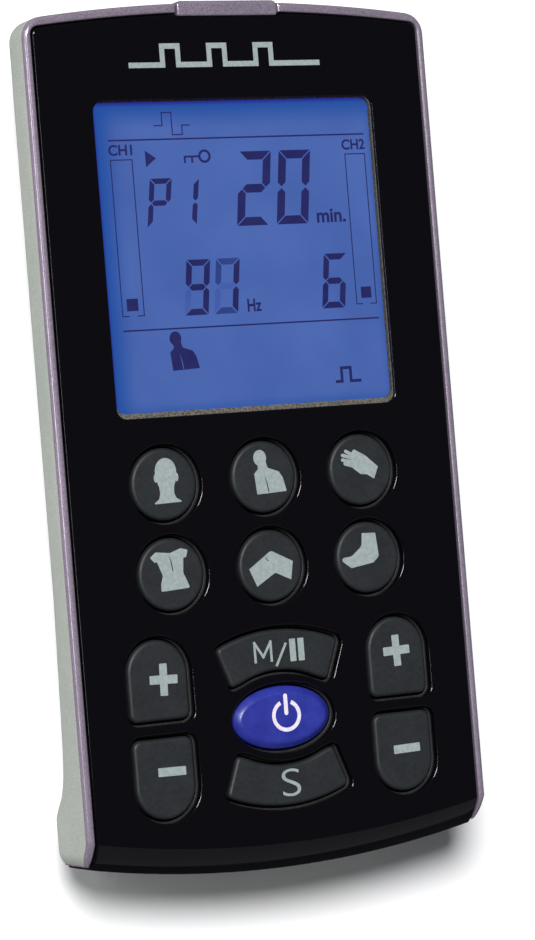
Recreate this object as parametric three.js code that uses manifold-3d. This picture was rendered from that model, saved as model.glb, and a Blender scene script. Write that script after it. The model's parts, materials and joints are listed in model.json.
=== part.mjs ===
// A hand-held two-channel nerve stimulator (TENS unit), lying on its back.
// +X is its width, +Y its length towards the lead sockets, and +Z points out of the face.
// Everything is in millimetres. The origin is on the table, close to the middle of the case.

import * as THREE from 'three';
import { mergeVertices } from 'three/addons/utils/BufferGeometryUtils.js';
import Module from 'manifold-3d';

const wasm = await Module();
wasm.setup();

// ---------------------------------------------------------------- driving dimensions

const WIDTH = 62;
const LENGTH = 121;
const DEPTH = 22;
const GAP = 0.15; // between parts that sit against each other
const WALL = 1.8; // rear housing

// Case outline, seen from the front
const HALF = WIDTH / 2;
const BOTTOM_END = -60.15;
const COVER_PROUD = 0.25; // the port cover stands this much further out than the top end
const TOP_END = BOTTOM_END + LENGTH - COVER_PROUD;
const TOP_RADIUS = 231;
const BOTTOM_RADIUS = 150;
const TOP_CORNER = 3;
const BOTTOM_CORNER = 2.5;
const BOW_STEPS = 6;

// The face slopes away in a bevel along the bottom end, rounds off, and then drops straight down
const ROLL_REACH = 3.6; // from the bevel's first edge to the end of the case
const ROLL_HEIGHT = 3.1;
const ROLL_LEAST = 2; // height at the sides
const ROLL_ROUNDNESS = 0.3; // 0 is a flat bevel and 1 a quarter of an ellipse
const ROLL_STEPS = 6;
const ROLL_LIMIT = 0.97; // share of the distance to that edge that the face's end goes
const ROLL_FOOT = 11.2; // height where the front assembly ends

// Rear housing: an upright band along each side, then a belly that slopes in to the back
const BAND_EDGE = 16.2; // height of the band's rear edge
const FLARE_START = -20; // the band starts to deepen here,
const FOOT_START = -49.7; // and reaches its full depth here
const FLARE_SLOPE = 1.5;
const FLARE_SWEEP = 3.6;
const FLARE_POWER = 12;
const BACK_HALF = 21; // half width of the back
const FOOT_BACK_HALF = 24.4;
const BACK_ROUND = { side: 1.2, end: 4, height: 4.5 }; // how far the edge of the back draws in
const BACK_ROUND_END = { from: 50, over: 6 }; // the ends' rounding fades in from here
const SLOPE_INSET = 1.18; // sideways inset of the sloping belly for each millimetre of wall
const BELLY_SHARES = [0, 0.03, 0.1, 0.28, 1]; // heights of the belly's rings, as shares of the band's edge
const FLARE_STOPS = [0, 0.36, 0.7, 0.83, 0.91, 0.96, 1, 1.1]; // extra points along the flare

// Front layers, measured down from the face
const PLATE = 1.2;
const RIM = 0.9; // skirt of the bezel that shows beside the plate
const BEZEL = 2.5; // underside of the bezel's ledge
const LAP = 0.75; // lip of the rear housing that laps the bezel
const PLATE_HALF = 29.7;
const PLATE_TOP = 59;
const PLATE_TOP_RADIUS = 245;
const PLATE_CORNER = 1;

// Display
const WINDOW = { half: 21.6, low: 3.5, high: 47.1, corner: 1.5 }; // opening in the faceplate
const SEAL_WIDTH = 0.4;
const PANE_THICKNESS = 0.7;
const PANE_TOP = 21.55;
const LCD = { half: 22.3, low: 3.2, high: 47.9 };
const LCD_TOP = 20.6;
const LCD_THICKNESS = 2.4;
const FRAME_WALL = 1.3;
const FRAME_TOP = 19.3;
const CONNECTOR_DEPTH = 2.2;

// Keys
const KEY_TOP = 21.65;
const KEY_BEVEL = 0.4;
const KEY_FLANGE = 0.6; // how far the flange stands out under the ledge
const FLANGE_LOW = 18.2;
const FLANGE_HIGH = 19.1;
const KEY_CLEARANCE = 0.3; // round a key, in the bezel
const PLATE_CLEARANCE = 0.55; // round a key, in the faceplate
const ROUND_KEY = 5; // radius
const COLUMN = 15.3;
const TREATMENT_ROWS = [-5.7, -18.1];
const D_KEY = { x: 18.6, half: 4.55, length: 11.1, corner: 1.2 };
const UP_KEY_LOW = -37.9;
const DOWN_KEY_HIGH = -40.3;
const POWER_KEY = { y: -39.2, a: 7.5, b: 4.35 };
const ARCH_KEY = { crown: 12.25, crownRadius: 23, shoulder: 9.55, throat: 6.55, throatRadius: 13, toe: 7.5 };

// Circuit board and what it carries
const BOARD = { low: 13.3, high: 14.9, half: 26.5, narrow: 19, top: 56.4, bottom: -53, neck: 48.9 };
const BOARD_CORNER = { half: 21.8, y: -48.4 };
const MAT = { low: 15.05, high: 16.1, half: 22, top: -0.6, bottom: -52 };
const DOME = { high: 17.3, foot: 2.6, crown: 1.8 };
// Core and bobbin: [width, length, nearest and furthest distance from the board]
const TRANSFORMER = { x: 13, y: 38, core: [11, 10, 1.5, 6], bobbin: [7, 13, 0, 7.5] };
const CONTROLLER = { y: 24, half: 6, thickness: 1.4 };
const BUZZER = { x: -14, y: 15, radius: 6, depth: 5 };
const CAPACITORS = [[9, 11], [16, 11], [16, 19]];
const CAPACITOR = { radius: 3, depth: 8 };

// Sockets on the top end
const SOCKET = { x: 13.5, z: 9.3, half: 5.2, back: 49.4, front: 56.6, low: 5.3, radius: 3.5, depth: 6.4 };
const JACK = { z: 10, half: 4.5, back: 51, front: 58.4, low: 7, nose: 2.9, mouth: 2.2, pin: 0.5 };

// Port cover in the middle of the top end
const COVER = { half: 7.7, inner: 59, lip: 58.65, lipDepth: 1.2, hingeY: 59.3, hingeZ: 4.6, barrel: 1.1 };
const PIN = { radius: 0.5, half: 9 };

// Battery bay in the back
const CONTACT = { x: 8, half: 1.5, low: 5.4, high: 6 }; // springs that touch the battery pack
const BAY = { half: 18.2, low: -53.4, high: -1.6, ceiling: 9.8, wall: 1.6 };
const BATTERY = { half: 17, low: -52.6, high: -2.6, bottom: 3.4, top: 9 };
const DOOR = { half: 18.9, top: 1, thickness: 1.6, lipTop: 3.4, lipY: -57.5 };
const GRIP = { half: 7, first: -48, pitch: 2.2, width: 1, depth: 0.5, count: 4 };
const RAIL = { inner: 16.6, outer: 17.9, top: 3, tongueLow: 2.2, tongue: 18.9 };

// Screws: [x, y, height of the head's seat]
const CASE_SCREWS = [
  [-22.5, 52.5, 7.6],
  [22.5, 52.5, 7.6],
  [-25.5, -52, 6.6],
  [25.5, -52, 6.6],
];
const POST = { radius: 3, low: 12.9, pilot: 1.4 };
const BOSS_TOP = 12.7;
const BOARD_SCREW = { x: 24.6, y: -12, radius: 2 };
const SCREW_HEAD = { radius: 2.4, height: 1.6, hole: 2.8, shank: 1.2 };
const ROUND = 16; // sides of a small round part
const SIDES = [-1, 1]; // left and right

// ---------------------------------------------------------------- outlines

const RIGHT_ANGLE = Math.PI / 2;

function circle(x, y, radius, sides = ROUND) {
  return Array.from({ length: sides }, (_, i) => {
    const angle = (i + 0.5) * 2 * Math.PI / sides;
    return [x + radius * Math.cos(angle), y + radius * Math.sin(angle)];
  });
}

function ellipse(x, y, a, b, sides) {
  return circle(0, 0, 1, sides).map(([u, v]) => [x + a * u, y + b * v]);
}

// A polygon whose corners are [x, y, radius], with each radius drawn as an arc
function rounded(corners, steps = 3) {
  const points = [];
  corners.forEach(([x, y, radius], i) => {
    if (!radius) {
      points.push([x, y]);
      return;
    }
    const corner = new THREE.Vector2(x, y);
    const before = new THREE.Vector2(...corners.at(i - 1)).sub(corner).normalize();
    const after = new THREE.Vector2(...corners[(i + 1) % corners.length]).sub(corner).normalize();
    const half = Math.acos(before.dot(after)) / 2;
    const bisector = before.clone().add(after).normalize();
    const centre = corner.clone().addScaledVector(bisector, radius / Math.sin(half));
    const start = corner.clone().addScaledVector(before, radius / Math.tan(half)).sub(centre);
    const sweep = Math.sign(after.cross(before)) * (Math.PI - 2 * half);
    for (let k = 0; k <= steps; k += 1) {
      const point = start.clone().rotateAround(new THREE.Vector2(), sweep * k / steps).add(centre);
      points.push([point.x, point.y]);
    }
  });
  return points;
}

// The same counter-clockwise polygon, moved outwards by an amount
function grow(points, amount) {
  const normals = points.map(([x, y], i) => {
    const [nextX, nextY] = points[(i + 1) % points.length];
    return new THREE.Vector2(nextY - y, x - nextX).normalize();
  });
  return points.map(([x, y], i) => {
    const before = normals.at(i - 1);
    const after = normals[i];
    const reach = amount / (1 + before.dot(after));
    return [x + (before.x + after.x) * reach, y + (before.y + after.y) * reach];
  });
}

// Points along a shallow arc that bows in Y, from x = from to x = to
function bow(from, to, apex, radius, steps = BOW_STEPS) {
  return Array.from({ length: steps + 1 }, (_, i) => {
    const x = from + (to - from) * i / steps;
    const sagitta = Math.abs(radius) - Math.sqrt(radius * radius - x * x);
    return [x, apex - Math.sign(radius) * sagitta];
  });
}

function withCorner(points, radius) {
  return points.map(([x, y], i) => [x, y, i === 0 || i === points.length - 1 ? radius : 0]);
}

// The case, seen from the front
function caseOutline(inset = 0) {
  const side = HALF - inset;
  const top = bow(side, -side, TOP_END - inset, TOP_RADIUS - inset);
  const bottom = bow(-side, side, BOTTOM_END + inset, -(BOTTOM_RADIUS - inset));
  return rounded([
    ...withCorner(top, Math.max(TOP_CORNER - inset, 0.3)),
    ...withCorner(bottom, Math.max(BOTTOM_CORNER - inset, 0.3)),
  ]);
}

// A block far wider and longer than the case, with only its bottom end in common
function openOutline(inset) {
  const reach = HALF + 6;
  const bottom = bow(-reach, reach, BOTTOM_END + inset, -(BOTTOM_RADIUS - inset));
  return [[reach, LENGTH], [-reach, LENGTH], ...bottom];
}

function plateOutline() {
  const top = bow(PLATE_HALF, -PLATE_HALF, PLATE_TOP, PLATE_TOP_RADIUS);
  return rounded([...withCorner(top, PLATE_CORNER), [-PLATE_HALF, -LENGTH], [PLATE_HALF, -LENGTH]]);
}

function windowOutline(margin) {
  const { half, low, high, corner } = WINDOW;
  const reach = half + margin;
  const radius = corner + margin;
  return rounded([
    [-reach, low - margin, radius],
    [reach, low - margin, radius],
    [reach, high + margin, radius],
    [-reach, high + margin, radius],
  ]);
}

// D-shaped key: a half-round end away from its partner
function dKeyOutline(x, low, pointsUp) {
  const { half, length, corner } = D_KEY;
  const centre = length - half;
  const end = circle(0, centre, half, 20).filter(([, y]) => y > centre);
  const outline = rounded([[-half, 0, corner], [half, 0, corner], [half, centre], ...end, [-half, centre]]);
  return pointsUp
    ? outline.map(([u, v]) => [x + u, low + v])
    : outline.map(([u, v]) => [x - u, low + length - v]);
}

// Arched key over the power key; side is 1 for the one above and -1 for the one below
function archKeyOutline(side) {
  const { crown, crownRadius, shoulder, throat, throatRadius, toe } = ARCH_KEY;
  const top = bow(shoulder, -shoulder, crown, crownRadius, 6);
  const reach = toe - 0.9;
  const bottom = bow(-reach, reach, throat, throatRadius, 6);
  const toeY = bottom[0][1] - 0.15;
  const shape = rounded([
    ...withCorner(top, 0.8),
    [-toe, toeY, 0.7],
    ...bottom.slice(1, -1),
    [toe, toeY, 0.7],
  ]);
  return shape.map(([u, v]) => [side * u, POWER_KEY.y + side * v]);
}

// ---------------------------------------------------------------- solids

function prism(points, low, high) {
  const shape = new THREE.Shape(points.map(([x, y]) => new THREE.Vector2(x, y)));
  const geometry = new THREE.ExtrudeGeometry(shape, { depth: high - low, bevelEnabled: false });
  geometry.translate(0, 0, low);
  return geometry;
}

function box(x0, x1, y0, y1, z0, z1) {
  const geometry = new THREE.BoxGeometry(x1 - x0, y1 - y0, z1 - z0);
  geometry.translate((x0 + x1) / 2, (y0 + y1) / 2, (z0 + z1) / 2);
  return geometry;
}

// A polygon in Y and Z, swept along X
function sweptX(points, x0, x1) {
  const geometry = prism(points, x0, x1);
  geometry.applyMatrix4(new THREE.Matrix4().makeBasis(
    new THREE.Vector3(0, 1, 0),
    new THREE.Vector3(0, 0, 1),
    new THREE.Vector3(1, 0, 0),
  ));
  return geometry;
}

function rod(x, y, radius, low, high, sides = ROUND) {
  return prism(circle(x, y, radius, sides), low, high);
}

// A round bar along Y
function barY(x, z, radius, y0, y1, sides = ROUND) {
  const geometry = new THREE.CylinderGeometry(radius, radius, y1 - y0, sides);
  geometry.translate(x, (y0 + y1) / 2, z);
  return geometry;
}

function ring(points, z) {
  return points.map(([x, y]) => [x, y, z]);
}

// Skin over a stack of rings with the same number of points, closed by a fan at each end
function loft(rings) {
  const count = rings[0].length;
  const middle = (points) => [0, 1, 2].map((axis) => points.reduce((sum, p) => sum + p[axis], 0) / count);
  const positions = [...rings.flat(), middle(rings[0]), middle(rings.at(-1))].flat();
  const first = count * rings.length;
  const lastStart = first - count;
  const index = [];
  for (let i = 0; i < count; i += 1) {
    const next = (i + 1) % count;
    for (let start = 0; start < lastStart; start += count) {
      index.push(start + i, start + next, start + i + count);
      index.push(start + next, start + next + count, start + i + count);
    }
    index.push(first, next, i, first + 1, lastStart + i, lastStart + next);
  }
  const geometry = new THREE.BufferGeometry();
  geometry.setAttribute('position', new THREE.Float32BufferAttribute(positions, 3));
  geometry.setIndex(index);
  return geometry;
}

function toVectors(points) {
  return points.map(([x, y]) => new THREE.Vector2(x, y));
}

// ---------------------------------------------------------------- cutting and joining

function solid(geometry) {
  if (!(geometry instanceof THREE.BufferGeometry)) {
    return geometry;
  }
  const bare = geometry.clone();
  bare.deleteAttribute('normal');
  bare.deleteAttribute('uv');
  const merged = mergeVertices(bare, 1e-4);
  return new wasm.Manifold(new wasm.Mesh({
    numProp: 3,
    vertProperties: new Float32Array(merged.attributes.position.array),
    triVerts: new Uint32Array(merged.index.array),
  }));
}

function join(...parts) {
  return parts.map(solid).reduce((all, part) => all.add(part));
}

function cut(part, ...tools) {
  return tools.map(solid).reduce((rest, tool) => rest.subtract(tool), solid(part));
}

function common(...parts) {
  return parts.map(solid).reduce((rest, part) => rest.intersect(part));
}

function toGeometry(part) {
  if (part instanceof THREE.BufferGeometry) {
    return part;
  }
  const { vertProperties, triVerts } = part.getMesh();
  const geometry = new THREE.BufferGeometry();
  geometry.setAttribute('position', new THREE.Float32BufferAttribute(vertProperties, 3));
  geometry.setIndex(Array.from(triVerts));
  return geometry;
}

// ---------------------------------------------------------------- the case's shape

const ROLL_ANGLES = Array.from({ length: ROLL_STEPS + 1 }, (_, k) => RIGHT_ANGLE * k / ROLL_STEPS);

function flareShare(y) {
  return Math.min(Math.max((FLARE_START - y) / (FLARE_START - FOOT_START), 0), 1);
}

function bandEdge(y) {
  const along = flareShare(y);
  return BAND_EDGE - FLARE_SLOPE * along - FLARE_SWEEP * along ** FLARE_POWER;
}

// Half width of the case at a height, a wall's thickness inside its surface
function halfWidth(y, z, inset) {
  const back = BACK_HALF + (FOOT_BACK_HALF - BACK_HALF) * flareShare(y) ** FLARE_POWER;
  const slope = back + (HALF - back) * z / bandEdge(y) - SLOPE_INSET * inset;
  return Math.min(HALF - inset, slope - BACK_ROUND.side * backRounding(z - inset));
}

// From 1 at the back to 0 where the walls take over
function backRounding(rise) {
  const share = Math.min(Math.max(1 - rise / BACK_ROUND.height, 0), 1);
  return 1 - Math.sqrt(1 - share * share);
}

// Distance of a point from the bevel's first edge, which runs along the bottom end
function pastRollStart(x, y) {
  return BOTTOM_END + ROLL_REACH + BOTTOM_RADIUS - Math.sqrt(BOTTOM_RADIUS ** 2 - x * x) - y;
}

// How far a point of the bottom end draws back at an angle of the roll
function drawnBack(x, y, angle) {
  const share = ROLL_ROUNDNESS * (1 - Math.cos(angle)) + (1 - ROLL_ROUNDNESS) * angle / RIGHT_ANGLE;
  return Math.max(pastRollStart(x, y), 0) * Math.min(share, ROLL_LIMIT);
}

// How far a point at an angle of the roll is under the face or a layer below it
function rollDrop(x, y, angle, depth = 0) {
  const rise = ROLL_ROUNDNESS * (1 - Math.sin(angle)) + (1 - ROLL_ROUNDNESS) * (1 - angle / RIGHT_ANGLE);
  const height = Math.max(ROLL_HEIGHT * pastRollStart(x, y) / (ROLL_REACH - depth), ROLL_LEAST) - depth;
  return Math.max(height, 0.1) * rise;
}

function withFlareStops(outline) {
  const stops = FLARE_STOPS.map((share) => FLARE_START + (FOOT_START - FLARE_START) * share);
  const turn = outline.findIndex(([x, y], i) => x < 0 && y > 0 && outline[i + 1][1] < 0) + 1;
  const left = stops.map((y) => [outline[turn][0], y]);
  const right = stops.map((y) => [outline[0][0], y]).reverse();
  return [...outline.slice(0, turn), ...left, ...outline.slice(turn), ...right];
}

// The whole case as one block, a wall's thickness inside its surface. The inner block goes
// straight up past the face instead of rolling over.
function caseBlock(inset = 0) {
  const outline = withFlareStops(caseOutline(inset));
  const place = ([x, y], z, angle) => {
    const nearEnd = Math.min(Math.max((Math.abs(y) - BACK_ROUND_END.from) / BACK_ROUND_END.over, 0), 1);
    const end = Math.sign(y) * BACK_ROUND.end * backRounding(z - inset) * nearEnd;
    return [x * halfWidth(y, z, inset) / (HALF - inset), y - end + drawnBack(x, y, angle), z];
  };
  const belly = BELLY_SHARES.map((share) => outline.map((point) => (
    place(point, inset + (bandEdge(point[1]) - inset) * share, 0)
  )));
  const band = inset
    ? [outline.map((point) => place(point, 2 * DEPTH, 0))]
    : ROLL_ANGLES.map((angle) => outline.map((point) => (
      place(point, DEPTH - rollDrop(...point, angle), angle)
    )));
  return loft([...belly, ...band]);
}

// Everything deeper than a layer of this thickness under the face and its roll
function below(thickness) {
  const outline = openOutline(thickness);
  return loft([
    ring(outline, -1),
    ...ROLL_ANGLES.map((angle) => outline.map(([x, y]) => (
      [x, y + drawnBack(x, y, angle), DEPTH - thickness - rollDrop(x, y, angle, thickness)]
    ))),
  ]);
}

// ---------------------------------------------------------------- the model

const group = new THREE.Group();

const FINISHES = {
  silver: [0x9a8ea0, 0.4, 0.2],
  housing: [0xa8aea6, 0.5, 0.1],
  gloss_black: [0x0c0b0f, 0.08, 0],
  key_grey: [0x35383a, 0.5, 0],
  key_blue: [0x2a3598, 0.3, 0],
  clear: [0xd8e4ee, 0.05, 0],
  seal: [0x8e897f, 0.8, 0],
  lcd: [0x4e6bb6, 0.1, 0],
  light: [0xdfe8f5, 0.3, 0],
  white_plastic: [0xd8d8d2, 0.5, 0],
  black_plastic: [0x18181a, 0.5, 0],
  silicone: [0xb9bcc0, 0.6, 0],
  board: [0x1c5b38, 0.45, 0],
  steel: [0xb4b6ba, 0.3, 1],
  brass: [0xc9a24a, 0.3, 1],
  winding: [0xc8b03c, 0.6, 0],
  can: [0x2b3a6e, 0.35, 0.2],
  battery: [0x2f6fa8, 0.35, 0],
  foam: [0x3c3c3e, 0.95, 0],
};

function add(name, part, finish) {
  const geometry = toGeometry(part);
  geometry.computeVertexNormals();
  const [color, roughness, metalness] = FINISHES[finish];
  const mesh = new THREE.Mesh(geometry, new THREE.MeshStandardMaterial({ color, roughness, metalness }));
  mesh.name = name;
  group.add(mesh);
}

// Keys: [name, outline, finish]
const TREATMENTS = [['head', 'shoulder', 'hand'], ['back', 'knee', 'foot']];
const KEYS = [];
TREATMENTS.forEach((row, r) => row.forEach((site, c) => {
  KEYS.push([`key_${site}`, circle((c - 1) * COLUMN, TREATMENT_ROWS[r], ROUND_KEY, 24), 'key_grey']);
}));
[['ch1', -1], ['ch2', 1]].forEach(([channel, side]) => {
  KEYS.push([`key_${channel}_up`, dKeyOutline(side * D_KEY.x, UP_KEY_LOW, true), 'key_grey']);
  const low = DOWN_KEY_HIGH - D_KEY.length;
  KEYS.push([`key_${channel}_down`, dKeyOutline(side * D_KEY.x, low, false), 'key_grey']);
});
KEYS.push(['key_mode', archKeyOutline(1), 'key_grey']);
KEYS.push(['key_set', archKeyOutline(-1), 'key_grey']);
KEYS.push(['key_power', ellipse(0, POWER_KEY.y, POWER_KEY.a, POWER_KEY.b, 28), 'key_blue']);

function keyHoles(clearance) {
  return KEYS.map(([, outline]) => prism(grow(outline, clearance), 0, 2 * DEPTH));
}

function keys() {
  KEYS.forEach(([name, outline, finish]) => {
    const flange = grow(outline, KEY_FLANGE);
    add(name, loft([
      ring(flange, FLANGE_LOW),
      ring(flange, FLANGE_HIGH),
      ring(outline, FLANGE_HIGH),
      ring(outline, KEY_TOP - KEY_BEVEL),
      ring(grow(outline, -KEY_BEVEL), KEY_TOP),
    ]), finish);
  });
}

// The recess that the port cover folds into, deep enough for it to lie flat when open
function coverNotch() {
  const { half, inner, lip, lipDepth, hingeY, hingeZ, barrel } = COVER;
  const floor = hingeZ - (TOP_END + COVER_PROUD - hingeY) - 0.3;
  return [
    sweptX(circle(hingeY, hingeZ, barrel + 0.2), -half - GAP, half + GAP),
    box(-half - GAP, half + GAP, inner - 0.3, LENGTH, floor, 2 * DEPTH),
    box(-half - GAP, half + GAP, lip - GAP, LENGTH, DEPTH - lipDepth - 0.3, 2 * DEPTH),
  ];
}

function faceplate() {
  add('faceplate', cut(
    common(prism(plateOutline(), ROLL_FOOT + 0.2, 2 * DEPTH), caseBlock()),
    below(PLATE),
    prism(windowOutline(0), 0, 2 * DEPTH),
    ...keyHoles(PLATE_CLEARANCE),
    ...coverNotch(),
  ), 'gloss_black');
}

function frontBezel() {
  const tall = 2 * DEPTH;
  const front = common(caseBlock(), box(-HALF, HALF, -LENGTH, LENGTH, ROLL_FOOT + 0.2, tall));
  const above = (thickness) => cut(front, below(thickness));
  const core = common(above(BEZEL), prism(caseOutline(LAP + 0.2), 0, tall));
  const pocket = cut(prism(grow(plateOutline(), GAP), 0, tall), below(PLATE + 0.1));
  const posts = CASE_SCREWS.map(([x, y]) => rod(x, y, POST.radius, POST.low, FRAME_TOP + 0.3));
  const boardPosts = SIDES.map((side) => (
    rod(side * BOARD_SCREW.x, BOARD_SCREW.y, BOARD_SCREW.radius, BOARD.high + 0.1, FRAME_TOP + 0.3, 12)
  ));
  const pilots = CASE_SCREWS.map(([x, y]) => rod(x, y, POST.pilot, 0, FRAME_TOP - 0.4, 12));
  const boardPilots = SIDES.map((side) => (
    rod(side * BOARD_SCREW.x, BOARD_SCREW.y, 1, 0, FRAME_TOP - 0.6, 8)
  ));
  const opening = box(-LCD.half - 0.3, LCD.half + 0.3, LCD.low - 0.3, LCD.high + 0.3, 0, tall);
  add('front_bezel', cut(
    join(above(RIM), core, ...posts, ...boardPosts),
    pocket,
    opening,
    ...pilots,
    ...boardPilots,
    ...coverNotch(),
    ...keyHoles(KEY_CLEARANCE),
  ), 'silver');
}

// The battery bay's walls, inside the rear housing
function bayBlock() {
  const { half, low, high, ceiling, wall } = BAY;
  const reach = half + wall;
  return [
    box(-reach, reach, low - wall, high + wall, 0.5, ceiling + wall),
    box(-reach - 1, reach + 1, BOTTOM_END + 1, DOOR.top + 2, 0.5, DOOR.lipTop + 0.2),
  ];
}

function bayCuts() {
  const { half, low, high, ceiling } = BAY;
  const opening = DOOR.half + GAP;
  const past = -LENGTH;
  const grooves = SIDES.map((side) => {
    const x = [side * (RAIL.inner - 0.2), side * (RAIL.tongue + GAP)].sort((a, b) => a - b);
    return box(...x, past, high, DOOR.thickness, RAIL.top + 0.2);
  });
  return [
    box(-half, half, low, high, -5, ceiling),
    box(-opening, opening, past, DOOR.top + GAP, -5, DOOR.thickness + GAP),
    box(-opening, opening, past, DOOR.lipY + GAP, -5, DOOR.lipTop + GAP),
    ...grooves,
  ];
}

function rearHousing() {
  const tall = 2 * DEPTH;
  const shape = solid(caseBlock());
  const body = common(shape, join(below(RIM + 0.1), box(-WIDTH, WIDTH, -LENGTH, LENGTH, -1, ROLL_FOOT)));
  const cavity = caseBlock(WALL);
  const endOpening = box(-HALF + WALL, HALF - WALL, -LENGTH, BOTTOM_END + 6, ROLL_FOOT, tall);
  const lap = cut(prism(caseOutline(LAP), ROLL_FOOT, tall), below(BEZEL + 0.2));
  const pad = box(-COVER.half - 0.6, COVER.half + 0.6, COVER.inner - 2.2, TOP_END - 1, 2, FRAME_TOP - 0.5);
  const bosses = CASE_SCREWS.map(([x, y]) => common(rod(x, y, POST.radius + 0.2, 0, BOSS_TOP), shape));
  const clearanceHoles = CASE_SCREWS.map(([x, y]) => rod(x, y, POST.pilot, 0, tall, 12));
  const headHoles = CASE_SCREWS.map(([x, y, seat]) => rod(x, y, SCREW_HEAD.hole, -1, seat));
  const leadHoles = SIDES.map((side) => barY(side * SOCKET.x, SOCKET.z, SOCKET.radius + 0.2, 50, LENGTH));
  const contactSlots = SIDES.map((side) => {
    const x = side * CONTACT.x;
    const reach = CONTACT.half + 0.3;
    const past = BAY.high + BAY.wall + 1;
    return box(x - reach, x + reach, BAY.high - 1, past, CONTACT.low - 0.3, CONTACT.high + 0.3);
  });
  const shell = cut(body, cavity, endOpening, lap);
  add('rear_housing', cut(
    join(shell, pad, ...bosses, ...bayBlock().map((block) => common(block, shape))),
    ...bayCuts(),
    ...clearanceHoles,
    ...headHoles,
    ...leadHoles,
    ...contactSlots,
    ...coverNotch(),
    barY(0, JACK.z, JACK.nose + 0.2, 50, LENGTH),
    sweptX(circle(COVER.hingeY, COVER.hingeZ, PIN.radius + 0.1, 10), -PIN.half - 0.2, PIN.half + 0.2),
  ), 'housing');
}

function batteryDoor() {
  const { half, top, thickness, lipTop, lipY } = DOOR;
  const rails = SIDES.flatMap((side) => {
    const web = [side * RAIL.inner, side * RAIL.outer].sort((a, b) => a - b);
    const tongue = [side * (RAIL.outer - 0.5), side * RAIL.tongue].sort((a, b) => a - b);
    return [
      box(...web, BAY.low + 2, BAY.high - 0.6, thickness - 0.5, RAIL.top),
      box(...tongue, BAY.low + 2, BAY.high - 0.6, RAIL.tongueLow, RAIL.top),
    ];
  });
  const plate = box(-half, half, BOTTOM_END - 1, top, -1, thickness);
  const lip = box(-half, half, BOTTOM_END - 1, lipY, -1, lipTop);
  const grips = Array.from({ length: GRIP.count }, (_, i) => {
    const y = GRIP.first + GRIP.pitch * i;
    return box(-GRIP.half, GRIP.half, y, y + GRIP.width, -1, GRIP.depth);
  });
  add('battery_door', cut(join(common(join(plate, lip), caseBlock()), ...rails), ...grips), 'housing');
}

function display() {
  const seal = prism(windowOutline(-GAP), LCD_TOP + 0.1, PANE_TOP - 0.1);
  add('window_gasket', cut(seal, prism(windowOutline(-GAP - SEAL_WIDTH), 0, 2 * DEPTH)), 'seal');
  const pane = windowOutline(-2 * GAP - SEAL_WIDTH);
  add('display_window', prism(pane, PANE_TOP - PANE_THICKNESS, PANE_TOP), 'clear');
  const { half, low, high } = LCD;
  const glassLow = LCD_TOP - LCD_THICKNESS;
  const under = glassLow - 0.1;
  const guideLow = low + CONNECTOR_DEPTH + 0.8;
  add('lcd_glass', box(-half, half, low, high, glassLow, LCD_TOP), 'lcd');
  add('lcd_backlight', box(-half, half, guideLow, high, BOARD.high + 0.5, under), 'light');
  const strip = box(-half + 3, half - 3, low + 0.2, low + CONNECTOR_DEPTH, BOARD.high + 0.1, under);
  add('lcd_connector', strip, 'silicone');
  const margin = 0.2 + FRAME_WALL;
  const reach = half + margin;
  const inside = box(-half - 0.2, half + 0.2, low - 0.2, high + 0.2, 0, 2 * DEPTH);
  const outside = box(-reach, reach, low - margin + 0.4, high + margin, BOARD.high + GAP, FRAME_TOP);
  add('lcd_frame', cut(outside, inside), 'white_plastic');
}

function circuitBoard() {
  const { low, high, half, narrow, top, bottom, neck } = BOARD;
  const rightSide = [
    [BOARD_CORNER.half, bottom], [BOARD_CORNER.half, BOARD_CORNER.y], [half, BOARD_CORNER.y],
    [half, neck], [narrow, neck], [narrow, top],
  ];
  const leftSide = rightSide.map(([x, y]) => [-x, y]).reverse();
  const holes = SIDES.map((side) => rod(side * BOARD_SCREW.x, BOARD_SCREW.y, 1.2, 0, 2 * DEPTH, 12));
  add('main_circuit_board', cut(prism([...rightSide, ...leftSide], low, high), ...holes), 'board');
  const middle = ([, outline]) => {
    const bounds = new THREE.Box2().setFromPoints(toVectors(outline));
    return bounds.getCenter(new THREE.Vector2());
  };
  const domes = KEYS.map(middle).map(({ x, y }) => loft([
    ring(circle(x, y, DOME.foot, 8), MAT.high - 0.3),
    ring(circle(x, y, DOME.crown, 8), DOME.high),
  ]));
  const mat = box(-MAT.half, MAT.half, MAT.bottom, MAT.top, MAT.low, MAT.high);
  add('keypad_mat', join(mat, ...domes), 'silicone');
}

// Parts soldered under the board, which hang from this height
function components() {
  const hang = BOARD.low - GAP;
  const block = (x, y, [width, length, from, to]) => (
    box(x - width / 2, x + width / 2, y - length / 2, y + length / 2, hang - to, hang - from)
  );
  SIDES.forEach((side, i) => {
    const { x, y, core, bobbin } = TRANSFORMER;
    const wound = join(block(side * x, y, core), block(side * x, y, bobbin));
    add(`output_transformer_${i + 1}`, wound, 'winding');
  });
  const chip = 2 * CONTROLLER.half;
  add('microcontroller', block(0, CONTROLLER.y, [chip, chip, 0, CONTROLLER.thickness]), 'black_plastic');
  const { x, y, radius, depth } = BUZZER;
  const sounder = rod(x, y, radius, hang - depth, hang, 20);
  add('buzzer', cut(sounder, rod(x, y, 1, hang - depth - 1, hang - depth + 1, 8)), 'black_plastic');
  CAPACITORS.forEach(([canX, canY], i) => {
    add(`capacitor_${i + 1}`, rod(canX, canY, CAPACITOR.radius, hang - CAPACITOR.depth, hang), 'can');
  });
}

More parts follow.
